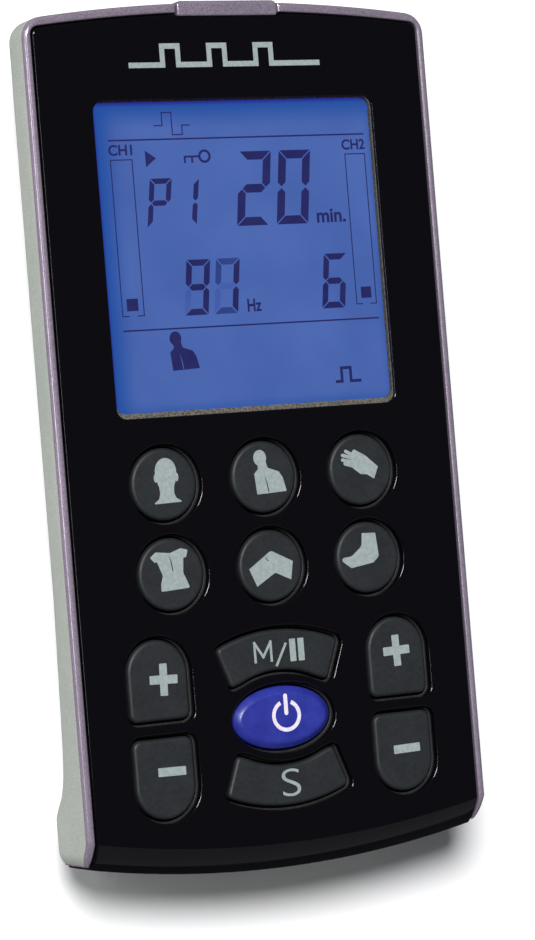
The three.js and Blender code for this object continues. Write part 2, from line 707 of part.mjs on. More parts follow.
function sockets() {
  const hang = BOARD.low - 0.2;
  SIDES.forEach((side, i) => {
    const { z, half, back, front, low, radius, depth } = SOCKET;
    const x = side * SOCKET.x;
    const block = box(x - half, x + half, back, front, low, hang);
    add(`output_socket_${i + 1}`, cut(block, barY(x, z, radius, front - depth, LENGTH)), 'black_plastic');
    const leg = box(x - 0.4, x + 0.4, back - 2, back - 1, z, hang);
    add(`socket_contact_${i + 1}`, join(barY(x, z, 1.2, back - 2.4, back - 0.2, 12), leg), 'brass');
  });
  const { z, half, back, front, low, nose, mouth, pin } = JACK;
  const body = join(box(-half, half, back, front - 2.2, low, hang), barY(0, z, nose, back + 1, front));
  const hollow = cut(barY(0, z, mouth, front - 6, LENGTH), barY(0, z, pin, 0, front - 1, 8));
  add('charging_socket', cut(body, hollow), 'black_plastic');
}

function portCover() {
  const { half, inner, lip, lipDepth, hingeY, hingeZ, barrel } = COVER;
  const outer = TOP_END + COVER_PROUD;
  const leg = box(-half, half, inner, outer, hingeZ, DEPTH);
  const grip = box(-half, half, lip, outer, DEPTH - lipDepth, DEPTH);
  const knuckle = sweptX(circle(hingeY, hingeZ, barrel), -half, half);
  const bore = sweptX(circle(hingeY, hingeZ, PIN.radius + 0.15, 10), -WIDTH, WIDTH);
  add('port_cover', cut(join(leg, grip, knuckle), bore), 'silver');
  add('port_cover_pin', sweptX(circle(hingeY, hingeZ, PIN.radius, 10), -PIN.half, PIN.half), 'steel');
}

function battery() {
  const { half, low, high, bottom, top } = BATTERY;
  const outline = rounded([[-half, bottom, 2], [half, bottom, 2], [half, top, 2], [-half, top, 2]]);
  const pack = prism(outline, low, high);
  pack.rotateX(RIGHT_ANGLE);
  pack.translate(0, low + high, 0);
  add('battery_pack', pack, 'battery');
  add('battery_pad', box(-12, 12, -40, -14, top + 0.1, BAY.ceiling - 0.1), 'foam');
  const tip = high + GAP;
  const upright = BAY.high + BAY.wall + 0.3;
  const thickness = CONTACT.high - CONTACT.low;
  const foot = BOARD.low - GAP;
  const bend = [
    [tip, CONTACT.low], [upright + thickness, CONTACT.low], [upright + thickness, foot],
    [upright, foot], [upright, CONTACT.high], [tip, CONTACT.high],
  ];
  [['plus', -CONTACT.x], ['minus', CONTACT.x]].forEach(([pole, x]) => {
    add(`battery_contact_${pole}`, sweptX(bend, x - CONTACT.half, x + CONTACT.half), 'brass');
  });
}

function screws() {
  const cross = (x, y, bottom, reach) => [
    box(x - reach, x + reach, y - 0.3, y + 0.3, bottom - 1, bottom + 0.7),
    box(x - 0.3, x + 0.3, y - reach, y + reach, bottom - 1, bottom + 0.7),
  ];
  CASE_SCREWS.forEach(([x, y, seat], i) => {
    const bottom = seat - SCREW_HEAD.height - 0.1;
    const head = rod(x, y, SCREW_HEAD.radius, bottom, seat - 0.1);
    const shank = rod(x, y, SCREW_HEAD.shank, seat - 0.5, FRAME_TOP - 1, 12);
    add(`case_screw_${i + 1}`, cut(join(head, shank), ...cross(x, y, bottom, 1.4)), 'steel');
  });
  SIDES.forEach((side, i) => {
    const x = side * BOARD_SCREW.x;
    const { y } = BOARD_SCREW;
    const head = rod(x, y, 1.8, BOARD.low - 1.3, BOARD.low - 0.1, 12);
    const shank = rod(x, y, 0.8, BOARD.low - 0.4, FRAME_TOP - 1.2, 8);
    add(`board_screw_${i + 1}`, cut(join(head, shank), ...cross(x, y, BOARD.low - 1.3, 1)), 'steel');
  });
}

rearHousing();
batteryDoor();
frontBezel();
faceplate();
display();
circuitBoard();
keys();
components();
sockets();
portCover();
battery();
screws();

export default group;
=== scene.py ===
"""Looks for a hand-held two-channel nerve stimulator (TENS unit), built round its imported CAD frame.

+X is the unit's width, +Y its length towards the lead sockets, +Z points out of its face.
Dimensions are in millimetres here and become metres when a mesh is made.
"""

import json
import math

import bmesh
import bpy
from mathutils import Matrix, Vector
from mathutils.geometry import delaunay_2d_cdt


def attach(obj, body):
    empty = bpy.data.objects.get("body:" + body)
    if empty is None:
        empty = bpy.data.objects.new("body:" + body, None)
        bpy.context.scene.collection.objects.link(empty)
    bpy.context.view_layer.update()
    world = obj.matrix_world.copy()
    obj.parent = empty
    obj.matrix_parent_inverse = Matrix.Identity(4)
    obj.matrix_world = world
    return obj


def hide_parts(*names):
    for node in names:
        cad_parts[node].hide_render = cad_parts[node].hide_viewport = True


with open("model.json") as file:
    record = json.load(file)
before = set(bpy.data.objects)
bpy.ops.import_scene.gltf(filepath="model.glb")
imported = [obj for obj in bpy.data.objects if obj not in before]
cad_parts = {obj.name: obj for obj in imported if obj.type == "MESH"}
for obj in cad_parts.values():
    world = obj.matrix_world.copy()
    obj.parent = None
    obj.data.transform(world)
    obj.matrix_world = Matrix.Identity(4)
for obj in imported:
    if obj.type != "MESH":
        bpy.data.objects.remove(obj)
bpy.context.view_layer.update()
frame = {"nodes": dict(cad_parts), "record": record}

MM = 0.001
RIGHT_ANGLE = math.pi / 2
ONTO_X = Matrix(((0, 0, 1, 0), (1, 0, 0, 0), (0, 1, 0, 0), (0, 0, 0, 1)))  # turns X, Y, Z into Y, Z, X
SIDES = (-1, 1)

# ---------------------------------------------------------------- dimensions shared with the CAD part

WIDTH, LENGTH, DEPTH = 62, 121, 22
HALF = WIDTH / 2
GAP = 0.15
WALL = 1.8
BOTTOM_END, COVER_PROUD = -60.15, 0.25
TOP_END = BOTTOM_END + LENGTH - COVER_PROUD
TOP_RADIUS, BOTTOM_RADIUS = 231, 150
TOP_CORNER, BOTTOM_CORNER = 3, 2.5

ROLL_REACH, ROLL_HEIGHT = 3.6, 3.1  # a bevel along the bottom end, before the face drops straight down
ROLL_LEAST = 2  # the bevel's least height, at the corners
ROLL_ROUNDNESS = 0.3  # 0 is a straight bevel, 1 a quarter of an ellipse
ROLL_LIMIT = 0.97
ROLL_FOOT = 11.2  # height of the rear housing's edge under it
FRONT_FOOT = ROLL_FOOT + 0.2

BAND_EDGE = 16.2  # height of the rear edge of the band along each side
FLARE_START, FOOT_START = -20, -49.7
FLARE_SLOPE, FLARE_SWEEP, FLARE_POWER = 1.5, 3.6, 12
BACK_HALF, FOOT_BACK_HALF = 21, 24.4
BACK_ROUND_SIDE, BACK_ROUND_END, BACK_ROUND_HEIGHT = 1.2, 4, 4.5
SLOPE_INSET = 1.18
NEAR_END, NEAR_END_SPAN = 50, 6  # where the back's end rounding comes in, and over what length
SLOPE_BLEND = 1.1  # how far the sloping side and the upright one run into each other
OUTLINE_PITCH = 1.5

PLATE, RIM, BEZEL, LAP = 1.2, 0.9, 2.5, 0.75
RIM_INNER_EDGE, RIM_OUTER_EDGE = 0.3, 0.62
PLATE_HALF, PLATE_TOP, PLATE_TOP_RADIUS, PLATE_CORNER = 29.7, 59, 245, 1

WINDOW_HALF, WINDOW_LOW, WINDOW_HIGH, WINDOW_CORNER = 21.6, 3.5, 47.1, 1.5
SEAL_INNER, SEAL_LOW, SEAL_HIGH = 21.5, 4.2, 46.98  # the seal is a thin lining, wider along the bottom
PANE_THICKNESS, PANE_TOP = 0.7, 21.55
LCD_HALF, LCD_LOW, LCD_HIGH, LCD_TOP, LCD_THICKNESS = 22.3, 3.2, 47.9, 20.6, 2.4

KEY_TOP, KEY_EDGE = 21.65, 0.55  # the edge is the radius round a grey key's top
KEY_MARK_RISE, PLATE_MARK_RISE = 0.012, 0.006  # heights of printed marks over their surface
KEY_FLANGE, FLANGE_LOW, FLANGE_HIGH = 0.6, 18.2, 19.1
KEY_CLEARANCE, PLATE_CLEARANCE = 0.3, 0.55
ROUND_KEY = 5
COLUMN = 15.3
TREATMENT_ROWS = (-5.7, -18.1)
D_KEY_X, D_KEY_HALF, D_KEY_LENGTH, D_KEY_CORNER = 18.6, 4.55, 11.1, 1.2
UP_KEY_LOW, DOWN_KEY_HIGH = -37.9, -40.3
POWER_Y, POWER_A, POWER_B = -39.2, 7.5, 4.35
CROWN, CROWN_RADIUS, SHOULDER, THROAT, THROAT_RADIUS, TOE = 12.25, 23, 9.55, 6.55, 13, 7.5

SOCKET_X, SOCKET_Z, SOCKET_RADIUS = 13.5, 9.3, 3.5
JACK_Z, JACK_NOSE = 10, 2.9
COVER_HALF, COVER_INNER, COVER_LIP, COVER_LIP_DEPTH = 7.7, 59, 58.65, 1.2
HINGE_Y, HINGE_Z, HINGE_BARREL, PIN_RADIUS, PIN_HALF = 59.3, 4.6, 1.1, 0.5, 9

BAY_HALF, BAY_LOW, BAY_HIGH, BAY_CEILING, BAY_WALL = 18.2, -53.4, -1.6, 9.8, 1.6
DOOR_HALF, DOOR_TOP, DOOR_THICKNESS, DOOR_LIP_TOP, DOOR_LIP_Y = 18.9, 1, 1.6, 3.4, -57.5
RAIL_INNER, RAIL_OUTER, RAIL_TOP, TONGUE_LOW, TONGUE = 16.6, 17.9, 3, 2.2, 18.9
GRIP_GROOVES, GRIP_LOW, GRIP_PITCH, GRIP_HALF, GRIP_WIDTH = 6, -48, 1.5, 8, 0.9  # finger grip on the door
CONTACT_X, CONTACT_HALF, CONTACT_LOW, CONTACT_HIGH = 8, 1.8, 5.1, 6.3  # slots for the battery contacts
CASE_SCREWS = ((-22.5, 52.5, 7.6), (22.5, 52.5, 7.6), (-25.5, -52, 6.6), (25.5, -52, 6.6))
POST_RADIUS, PILOT_RADIUS, BOSS_TOP, SCREW_HOLE = 3, 1.4, 12.7, 2.8
SCREW_HEAD, HEAD_RADIUS, SHANK_RADIUS = 1.7, 2.4, 1.2
BORE_START, BORE_END = 50, 62  # the lead sockets and the jack are bored from inside to past the end
END_OPENING = 6  # length of the gap in the housing under the rolled front layers

ROW_ORIGIN = TREATMENT_ROWS[0]  # printed marks are laid out from the first row of keys

# ---------------------------------------------------------------- outlines, in X and Y


def circle(x, y, radius, sides=48):
    turn = 2 * math.pi / sides
    return [(x + radius * math.cos(i * turn), y + radius * math.sin(i * turn)) for i in range(sides)]


def ellipse(x, y, a, b, sides=72):
    return [(x + a * u, y + b * v) for u, v in circle(0, 0, 1, sides)]


def rounded(corners, steps=8):
    """A polygon whose corners are (x, y, radius), with each radius drawn as an arc."""
    points = []
    for i, (x, y, radius) in enumerate(corners):
        if not radius:
            points.append((x, y))
            continue
        corner = Vector((x, y))
        before = (Vector(corners[i - 1][:2]) - corner).normalized()
        after = (Vector(corners[(i + 1) % len(corners)][:2]) - corner).normalized()
        half = before.angle(after) / 2
        centre = corner + (before + after).normalized() * (radius / math.sin(half))
        start = corner + before * (radius / math.tan(half)) - centre
        turn = math.copysign(math.pi - 2 * half, after.x * before.y - after.y * before.x)
        for k in range(steps + 1):
            point = Matrix.Rotation(turn * k / steps, 2) @ start + centre
            points.append((point.x, point.y))
    return points


def moved_out(points, amount, closed=True):
    """The points of a counter-clockwise path, moved to its outer side."""
    count = len(points)
    edges = [Vector((b[1] - a[1], a[0] - b[0])).normalized() for a, b in zip(points, points[1:] + points[:1])]
    moved = []
    for i, (x, y) in enumerate(points):
        before, after = edges[i - 1], edges[i]
        if not closed and i == 0:
            before = after
        if not closed and i == count - 1:
            after = before
        reach = amount / (1 + before.dot(after))
        moved.append((x + (before.x + after.x) * reach, y + (before.y + after.y) * reach))
    return moved


def bow(start, end, apex, radius, steps=40):
    """Points along a shallow arc that bows in Y; a negative radius bows towards -Y."""
    points = []
    for i in range(steps + 1):
        x = start + (end - start) * i / steps
        sagitta = abs(radius) - math.sqrt(radius * radius - x * x)
        points.append((x, apex - math.copysign(sagitta, radius)))
    return points


def with_corner(points, radius):
    """The path as corners for rounded(), with its ends rounded and room left for their arcs."""
    first, last = points[0], points[-1]
    clear = [p for p in points if min(math.dist(p, first), math.dist(p, last)) > 1.3 * radius]
    return [(*first, radius), *[(x, y, 0) for x, y in clear], (*last, radius)]


def rounded_bow(half, apex, radius, corner):
    """A bow across the top as corners for rounded(), with the same number of points for any corner."""
    first, last = bow(half, -half, apex, radius, 1)
    reach = half - 1.4 * corner
    return [(*first, corner), *[(x, y, 0) for x, y in bow(reach, -reach, apex, radius)], (*last, corner)]


def box_outline(x0, x1, y0, y1, radius=0):
    return rounded([(x0, y0, radius), (x1, y0, radius), (x1, y1, radius), (x0, y1, radius)])


def subdivided(points, pitch):
    """The same outline with points no further apart than the pitch."""
    path = []
    for (x0, y0), (x1, y1) in zip(points, points[1:] + points[:1]):
        count = max(1, math.ceil(math.hypot(x1 - x0, y1 - y0) / pitch))
        path += [(x0 + (x1 - x0) * k / count, y0 + (y1 - y0) * k / count) for k in range(count)]
    return path


def window_outline(margin):
    return box_outline(-WINDOW_HALF - margin, WINDOW_HALF + margin, WINDOW_LOW - margin,
                       WINDOW_HIGH + margin, WINDOW_CORNER + margin)


def d_key(x, low, points_up):
    centre = D_KEY_LENGTH - D_KEY_HALF
    end = [p for p in circle(0, centre, D_KEY_HALF, 64) if p[1] > centre + 0.01]
    outline = rounded([(-D_KEY_HALF, 0, D_KEY_CORNER), (D_KEY_HALF, 0, D_KEY_CORNER), (D_KEY_HALF, centre, 0),
                       *[(u, v, 0) for u, v in end], (-D_KEY_HALF, centre, 0)])
    if points_up:
        return [(x + u, low + v) for u, v in outline]
    return [(x - u, low + D_KEY_LENGTH - v) for u, v in outline]


def arch_key(side):
    top = bow(SHOULDER, -SHOULDER, CROWN, CROWN_RADIUS, 28)
    bottom = bow(0.9 - TOE, TOE - 0.9, THROAT, THROAT_RADIUS, 28)
    toe_y = bottom[0][1] - 0.15
    shape = rounded([*with_corner(top, 0.8), (-TOE, toe_y, 0.7), *[(x, y, 0) for x, y in bottom[2:-2]],
                     (TOE, toe_y, 0.7)])
    return [(side * u, POWER_Y + side * v) for u, v in shape]


TREATMENT_KEYS = ("key_head", "key_shoulder", "key_hand", "key_back", "key_knee", "key_foot")


def treatment_place(i):
    """Where a round key's middle is, counting along the rows from the top left."""
    return COLUMN * (i % 3 - 1), TREATMENT_ROWS[i // 3]


KEYS = {name: circle(*treatment_place(i), ROUND_KEY, 64) for i, name in enumerate(TREATMENT_KEYS)}
for channel, side in ((1, -1), (2, 1)):
    KEYS[f"key_ch{channel}_up"] = d_key(side * D_KEY_X, UP_KEY_LOW, True)
    KEYS[f"key_ch{channel}_down"] = d_key(side * D_KEY_X, DOWN_KEY_HIGH - D_KEY_LENGTH, False)
KEYS["key_mode"] = arch_key(1)
KEYS["key_set"] = arch_key(-1)
KEYS["key_power"] = ellipse(0, POWER_Y, POWER_A, POWER_B)

# ---------------------------------------------------------------- meshes


class Shell:
    """Points and faces of a mesh under construction, in millimetres."""

    def __init__(self):
        self.points = []
        self.faces = []

    def ring(self, points, z=None):
        first = len(self.points)
        self.points += points if z is None else [(x, y, z) for x, y in points]
        return list(range(first, len(self.points)))

    def strip(self, lower, upper, closed=True):
        pairs = list(zip(lower, upper))
        ends = pairs[1:] + pairs[:1] if closed else pairs[1:]
        self.faces += [(a, c, d, b) for (a, b), (c, d) in zip(pairs, ends)]

    def skin(self, rings, closed=True):
        for lower, upper in zip(rings, rings[1:]):
            self.strip(lower, upper, closed)

    def fan(self, ring):
        middle = [sum(self.points[i][axis] for i in ring) / len(ring) for axis in range(3)]
        centre = self.ring([tuple(middle)])[0]
        self.faces += [(a, b, centre) for a, b in zip(ring, ring[1:] + ring[:1])]

    def barrel(self, rings, name):
        """A solid of these rings, closed at both ends by a fan of triangles."""
        self.skin(rings)
        self.fan(rings[0])
        self.fan(rings[-1])
        return self.build(name)

    def fill(self, loops):
        """Flat faces inside the first loop of point numbers and outside the others."""
        numbers = [i for loop in loops for i in loop]
        flat = [Vector(self.points[i][:2]) for i in numbers]
        edges = []
        start = 0
        for loop in loops:
            count = len(loop)
            edges += [(start + k, start + (k + 1) % count) for k in range(count)]
            start += count
        outlines = [[self.points[i][:2] for i in loop] for loop in loops]
        coords, _, triangles, originals, _, _ = delaunay_2d_cdt(flat, edges, [], 0, 1e-5)
        for triangle in triangles:
            x = sum(coords[i].x for i in triangle) / 3
            y = sum(coords[i].y for i in triangle) / 3
            if sum(is_inside(x, y, outline) for outline in outlines) % 2 == 1:
                self.faces.append(tuple(numbers[originals[i][0]] for i in triangle))

    def build(self, name):
        mesh = bpy.data.meshes.new(name)
        mesh.from_pydata([(x * MM, y * MM, z * MM) for x, y, z in self.points], [], self.faces)
        work = bmesh.new()
        work.from_mesh(mesh)
        bmesh.ops.remove_doubles(work, verts=work.verts, dist=2e-7)
        bmesh.ops.recalc_face_normals(work, faces=work.faces)
        work.to_mesh(mesh)
        work.free()
        piece = bpy.data.objects.new(name, mesh)
        bpy.context.scene.collection.objects.link(piece)
        return piece


def is_inside(x, y, outline):
    inside = False
    for (x0, y0), (x1, y1) in zip(outline, outline[1:] + outline[:1]):
        if (y0 > y) != (y1 > y) and x < x0 + (y - y0) * (x1 - x0) / (y1 - y0):
            inside = not inside
    return inside


def prism(outline, low, high):
    shell = Shell()
    rings = [shell.ring(outline, low), shell.ring(outline, high)]
    shell.skin(rings)
    for ring in rings:
        shell.fill([ring])
    return shell.build("tool")


def box(x0, x1, y0, y1, z0, z1):
    return prism([(x0, y0), (x1, y0), (x1, y1), (x0, y1)], z0, z1)


def stack(outline, levels, name="tool"):
    """A solid whose outline grows and shrinks with height; levels are (height, growth)."""
    shell = Shell()
    rings = [shell.ring(moved_out(outline, growth), z) for z, growth in levels]
    shell.skin(rings)
    shell.fill([rings[0]])
    shell.fill([rings[-1]])
    return shell.build(name)


def turned(piece, matrix):
    """The piece with its mesh turned or moved, still right side out."""
    piece.data.transform(matrix)
    if matrix.determinant() < 0:
        piece.data.flip_normals()
    return piece


def along_x(outline, x0, x1):
    """A solid with an outline in Y and Z, swept along X."""
    return turned(prism(outline, x0, x1), ONTO_X)


def turned_on_y(x, z, levels):
    """A solid of revolution about an axis along Y; levels are (y, radius)."""
    shell = Shell()
    rings = [shell.ring([(x + u, y, z + v) for u, v in circle(0, 0, radius)]) for y, radius in levels]
    return shell.barrel(rings, "tool")


def turned_on_z(x, y, levels):
    """A solid of revolution about an axis along Z; levels are (z, radius)."""
    shell = Shell()
    return shell.barrel([shell.ring(circle(x, y, radius), z) for z, radius in levels], "tool")


def combined(piece, operation, tools):
    """The piece after cutting, joining or intersecting it with each tool, which are used up."""
    for tool in tools:
        step = piece.modifiers.new(operation, "BOOLEAN")
        step.operation = operation
        step.object = tool
        step.solver = "MANIFOLD"
        bpy.context.view_layer.update()
        result = piece.evaluated_get(bpy.context.evaluated_depsgraph_get())
        mesh = bpy.data.meshes.new_from_object(result)
        piece.modifiers.clear()
        piece.data = mesh
        bpy.data.objects.remove(tool)
    return piece


def cut(piece, *tools):
    return combined(piece, "DIFFERENCE", tools)


def join(piece, *tools):
    return combined(piece, "UNION", tools)


def common(piece, *tools):
    return combined(piece, "INTERSECT", tools)


def finished(piece, body, material, replaces=(), sharp=35):
    """Smooth shading with crisp edges, a material, and a place in the frame."""
    piece.data.materials.clear()
    piece.data.materials.append(material)
    piece.data.shade_smooth()
    piece.data.set_sharp_from_angle(angle=math.radians(sharp))
    even = piece.modifiers.new("even_shading", "WEIGHTED_NORMAL")
    even.keep_sharp = True
    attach(piece, body)
    if replaces:
        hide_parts(*replaces)
    return piece


# ---------------------------------------------------------------- the case's shape


def flare_share(y):
    return min(max((FLARE_START - y) / (FLARE_START - FOOT_START), 0), 1)


def band_edge(y):
    """Height of the band's rear edge, which falls away towards the foot."""
    along = flare_share(y)
    return BAND_EDGE - FLARE_SLOPE * along - FLARE_SWEEP * along**FLARE_POWER


def back_rounding(rise):
    """From 1 at the back to 0 where the walls take over."""
    share = min(max(1 - rise / BACK_ROUND_HEIGHT, 0), 1)
    return 1 - math.sqrt(1 - share * share)


def soft_min(a, b):
    """The smaller of two lengths, with the change from one to the other blended."""
    overlap = max(SLOPE_BLEND - abs(a - b), 0) / SLOPE_BLEND
    return min(a, b) - overlap * overlap * SLOPE_BLEND / 4


def half_width(y, z, inset):
    """The case is narrow at the back and slopes out to its upright sides."""
    back = BACK_HALF + (FOOT_BACK_HALF - BACK_HALF) * flare_share(y) ** FLARE_POWER
    slope = back + (HALF - back) * z / band_edge(y) - SLOPE_INSET * inset
    return soft_min(HALF - inset, slope - BACK_ROUND_SIDE * back_rounding(z - inset))


def bottom_y(x):
    return BOTTOM_END + BOTTOM_RADIUS - math.sqrt(BOTTOM_RADIUS**2 - x * x)


def roll_shares(angle):
    """Shares of the roll's length and height, from its foot at 0 to the face at a right angle."""
    length = ROLL_ROUNDNESS * (1 - math.cos(angle)) + (1 - ROLL_ROUNDNESS) * angle / RIGHT_ANGLE
    height = ROLL_ROUNDNESS * math.sin(angle) + (1 - ROLL_ROUNDNESS) * angle / RIGHT_ANGLE
    return length, height


def past_roll_start(x, y):
    return bottom_y(x) + ROLL_REACH - y


def drawn_back(x, y, angle):
    """How far a point past the start of the roll is moved back towards it."""
    return max(past_roll_start(x, y), 0) * min(roll_shares(angle)[0], ROLL_LIMIT)


def roll_drop(x, y, angle, depth=0):
    """How far the roll is below the face, or below a layer this deep under it."""
    height = max(ROLL_HEIGHT * past_roll_start(x, y) / (ROLL_REACH - depth), ROLL_LEAST) - depth
    return max(height, 0.1) * (1 - roll_shares(angle)[1])


def case_outline(inset):
    side = HALF - inset
    top = bow(side, -side, TOP_END - inset, TOP_RADIUS - inset)
    bottom = bow(-side, side, BOTTOM_END + inset, inset - BOTTOM_RADIUS)
    return rounded([*with_corner(top, max(TOP_CORNER - inset, 0.3)),
                    *with_corner(bottom, max(BOTTOM_CORNER - inset, 0.3))])


BELLY_SHARES = (0, 0.003, 0.012, 0.03, 0.05, 0.08, 0.12, 0.17, 0.23, 0.3, 0.45, 0.6, 0.75, 0.85, 0.9,
                0.94, 0.97, 0.99, 1.01, 1.04)
ROLL_ANGLES = [RIGHT_ANGLE * k / 16 for k in range(17)]


def case_block(inset=0):
    """The whole case as one solid, this far inside its surface; one that is inset has no roll."""
    outline = subdivided(case_outline(inset), OUTLINE_PITCH)

    def place(x, y, z, angle):
        near_end = min(max((abs(y) - NEAR_END) / NEAR_END_SPAN, 0), 1)
        end = math.copysign(BACK_ROUND_END, y) * back_rounding(z - inset) * near_end
        return (x * half_width(y, z, inset) / (HALF - inset), y - end + drawn_back(x, y, angle), z)

    shell = Shell()
    rings = []
    for share in BELLY_SHARES:
        rings.append(shell.ring([place(x, y, inset + (band_edge(y) - inset) * share, 0) for x, y in outline]))
    if inset:
        rings.append(shell.ring([place(x, y, 2 * DEPTH, 0) for x, y in outline]))
    else:
        for angle in ROLL_ANGLES:
            rings.append(shell.ring([place(x, y, DEPTH - roll_drop(x, y, angle), angle) for x, y in outline]))
    return shell.barrel(rings, "case_block")


def below(thickness):
    """Everything deeper than a layer of this thickness under the face and its roll."""
    reach = HALF + 6
    outline = [(reach, LENGTH), (-reach, LENGTH),
               *bow(-reach, reach, BOTTOM_END + thickness, thickness - BOTTOM_RADIUS, 60)]
    shell = Shell()
    rings = [shell.ring(outline, -1)]
    for angle in ROLL_ANGLES:
        rings.append(shell.ring([
            (x, y + drawn_back(x, y, angle), DEPTH - thickness - roll_drop(x, y, angle, thickness))
            for x, y in outline
        ]))
    return shell.barrel(rings, "below")


# The front layers are drawn flat, with everything past ROLL_LINE unrolled, and then bent

ROLL_LINE = -52.8
HALF_COLUMNS = 24  # columns of faces on each side of the middle, over the roll
FLAT_SPAN, ROLL_SPAN, WALL_SPAN = 1, 6, 4  # unrolled lengths up to the bevel, over it and down the wall
EASE_IN = 0.35  # share of the bevel over which a layer turns from the face's direction to the bevel's
EASE_OUT, EASE_SPAN = 0.8, 0.2  # where it begins to turn to the wall's, and over what share
ROLL_ROWS = [ROLL_LINE, *[ROLL_LINE - FLAT_SPAN - ROLL_SPAN * k / 18 for k in range(19)]]
ROLL_ROWS += [ROLL_LINE - FLAT_SPAN - ROLL_SPAN - WALL_SPAN * share for share in (0.1, 0.37, 0.67, 0.97, 1)]


def foot_y(x):
    """Where the bottom end of the case is, at its foot."""
    flat = HALF - BOTTOM_CORNER
    past = min(max(abs(x) - flat, 0), BOTTOM_CORNER)
    return bottom_y(min(abs(x), flat)) + BOTTOM_CORNER - math.sqrt(BOTTOM_CORNER**2 - past**2)


def bent(x, y, z):
    """Where a point of a flat front layer comes to lie once its end is rolled over."""
    if y >= ROLL_LINE:
        return (x, y, z)
    foot = foot_y(x)
    reach = past_roll_start(x, foot)
    along = ROLL_LINE - y
    if along <= FLAT_SPAN:
        return (x, ROLL_LINE + (foot + reach - ROLL_LINE) * along / FLAT_SPAN, z)
    share = min((along - FLAT_SPAN) / ROLL_SPAN, 1)
    fall = max(along - FLAT_SPAN - ROLL_SPAN, 0) / WALL_SPAN
    angle = RIGHT_ANGLE * (1 - share)
    height = roll_drop(x, foot, 0)
    length_share, height_share = roll_shares(angle)
    even = (1 - ROLL_ROUNDNESS) / RIGHT_ANGLE
    normal = Vector((-height * (ROLL_ROUNDNESS * math.cos(angle) + even),
                     reach * (ROLL_ROUNDNESS * math.sin(angle) + even))).normalized()
    normal = Vector((0, 1)).lerp(normal, min(share / EASE_IN, 1))
    normal = normal.lerp(Vector((-1, 0)), max(share - EASE_OUT, 0) / EASE_SPAN).normalized()
    top = DEPTH - height * (1 - height_share)
    return (x, foot + reach * length_share - normal.x * (DEPTH - z),
            top - normal.y * (DEPTH - z) - fall * (DEPTH - height - FRONT_FOOT))


def corner_blocks(x0, depth):
    """Beside the plate at the bottom corners, everything this much lower than the rolled face."""
    edge = [bent(x0, y, DEPTH)[1:] for y in ROLL_ROWS if y >= ROLL_LINE - FLAT_SPAN - ROLL_SPAN]
    outline = [(-LENGTH, ROLL_FOOT - 1), (ROLL_LINE + 2, ROLL_FOOT - 1), (ROLL_LINE + 2, DEPTH - depth),
               *[(y, z - depth) for y, z in edge], (-LENGTH, edge[-1][1] - depth)]
    return [along_x(outline, *sorted((side * x0, side * WIDTH))) for side in SIDES]


def face_path(half, apex, radius, corner):
    """Up the right side, over the top and down the left side of a front layer."""
    over = rounded([*rounded_bow(half, apex, radius, corner), (-half, -LENGTH, 0), (half, -LENGTH, 0)])
    right = [(half, y) for y in reversed(ROLL_ROWS)]
    left = [(-half, y) for y in ROLL_ROWS]
    return right + over[:-2] + left


def face_sheet(shell, path, holes, z):
    """Fills a front layer at a height and returns its last row, at the foot."""
    rows = len(ROLL_ROWS)
    half = path[0][0]
    columns = [half - half * i / HALF_COLUMNS for i in range(2 * HALF_COLUMNS + 1)]
    flat = path[rows - 1:len(path) - rows + 1]
    across = [(x, ROLL_LINE) for x in reversed(columns)][1:-1]
    outer = shell.ring(flat + across, z)
    shell.fill([outer, *[shell.ring(hole, z) for hole in holes]])
    grid = [shell.ring([(x, y) for x in columns], z) for y in ROLL_ROWS]
    shell.skin(grid, closed=False)
    return grid[-1]


def round_edge(radius, steps=5):
    """(distance in from the edge, drop below the top) round an edge."""
    angles = [RIGHT_ANGLE * k / steps for k in range(steps + 1)]
    return [(radius * (1 - math.sin(a)), radius * (1 - math.cos(a))) for a in angles]


def face_slab(name, path, holes, top, bottom, edge_radius, hole_radius):
    """A front layer with rounded edges, bent over the bottom end."""
    shell = Shell()
    high = face_sheet(shell, moved_out(path, -edge_radius, closed=False),
                      [moved_out(hole, hole_radius) for hole in holes], top)
    low = face_sheet(shell, path, holes, bottom)
    shell.strip(high, low, closed=False)
    rings = [shell.ring(moved_out(path, -inset, closed=False), top - drop)
             for inset, drop in round_edge(edge_radius)]
    rings.append(shell.ring(path, bottom))
    shell.skin(rings, closed=False)
    shell.faces += [tuple(ring[end] for ring in rings) for end in (0, -1)]
    for hole in holes:
        rings = [shell.ring(moved_out(hole, inset), top - drop) for inset, drop in round_edge(hole_radius)]
        shell.skin([*rings, shell.ring(hole, bottom)])
    shell.points = [bent(*point) for point in shell.points]
    return shell.build(name)


def cover_notch():
    """The recess that the port cover folds into, with softened edges at the face."""
    half = COVER_HALF + GAP
    floor = HINGE_Z - (TOP_END + COVER_PROUD - HINGE_Y) - 0.3
    slot = box_outline(-half, half, COVER_LIP - GAP, LENGTH)
    return [
        along_x(circle(HINGE_Y, HINGE_Z, HINGE_BARREL + 0.2), -half, half),
        box(-half, half, COVER_INNER - 0.3, LENGTH, floor, 2 * DEPTH),
        stack(slot, [(DEPTH - COVER_LIP_DEPTH - 0.3, 0), (DEPTH - 0.5, 0), (DEPTH - 0.2, 0.1),
                     (DEPTH - 0.05, 0.25), (DEPTH + 0.1, 0.5)]),
    ]


PLATE_PATH = face_path(PLATE_HALF, PLATE_TOP, PLATE_TOP_RADIUS, PLATE_CORNER)
CASE_PATH = face_path(HALF, TOP_END, TOP_RADIUS, TOP_CORNER)

# ---------------------------------------------------------------- front of the case


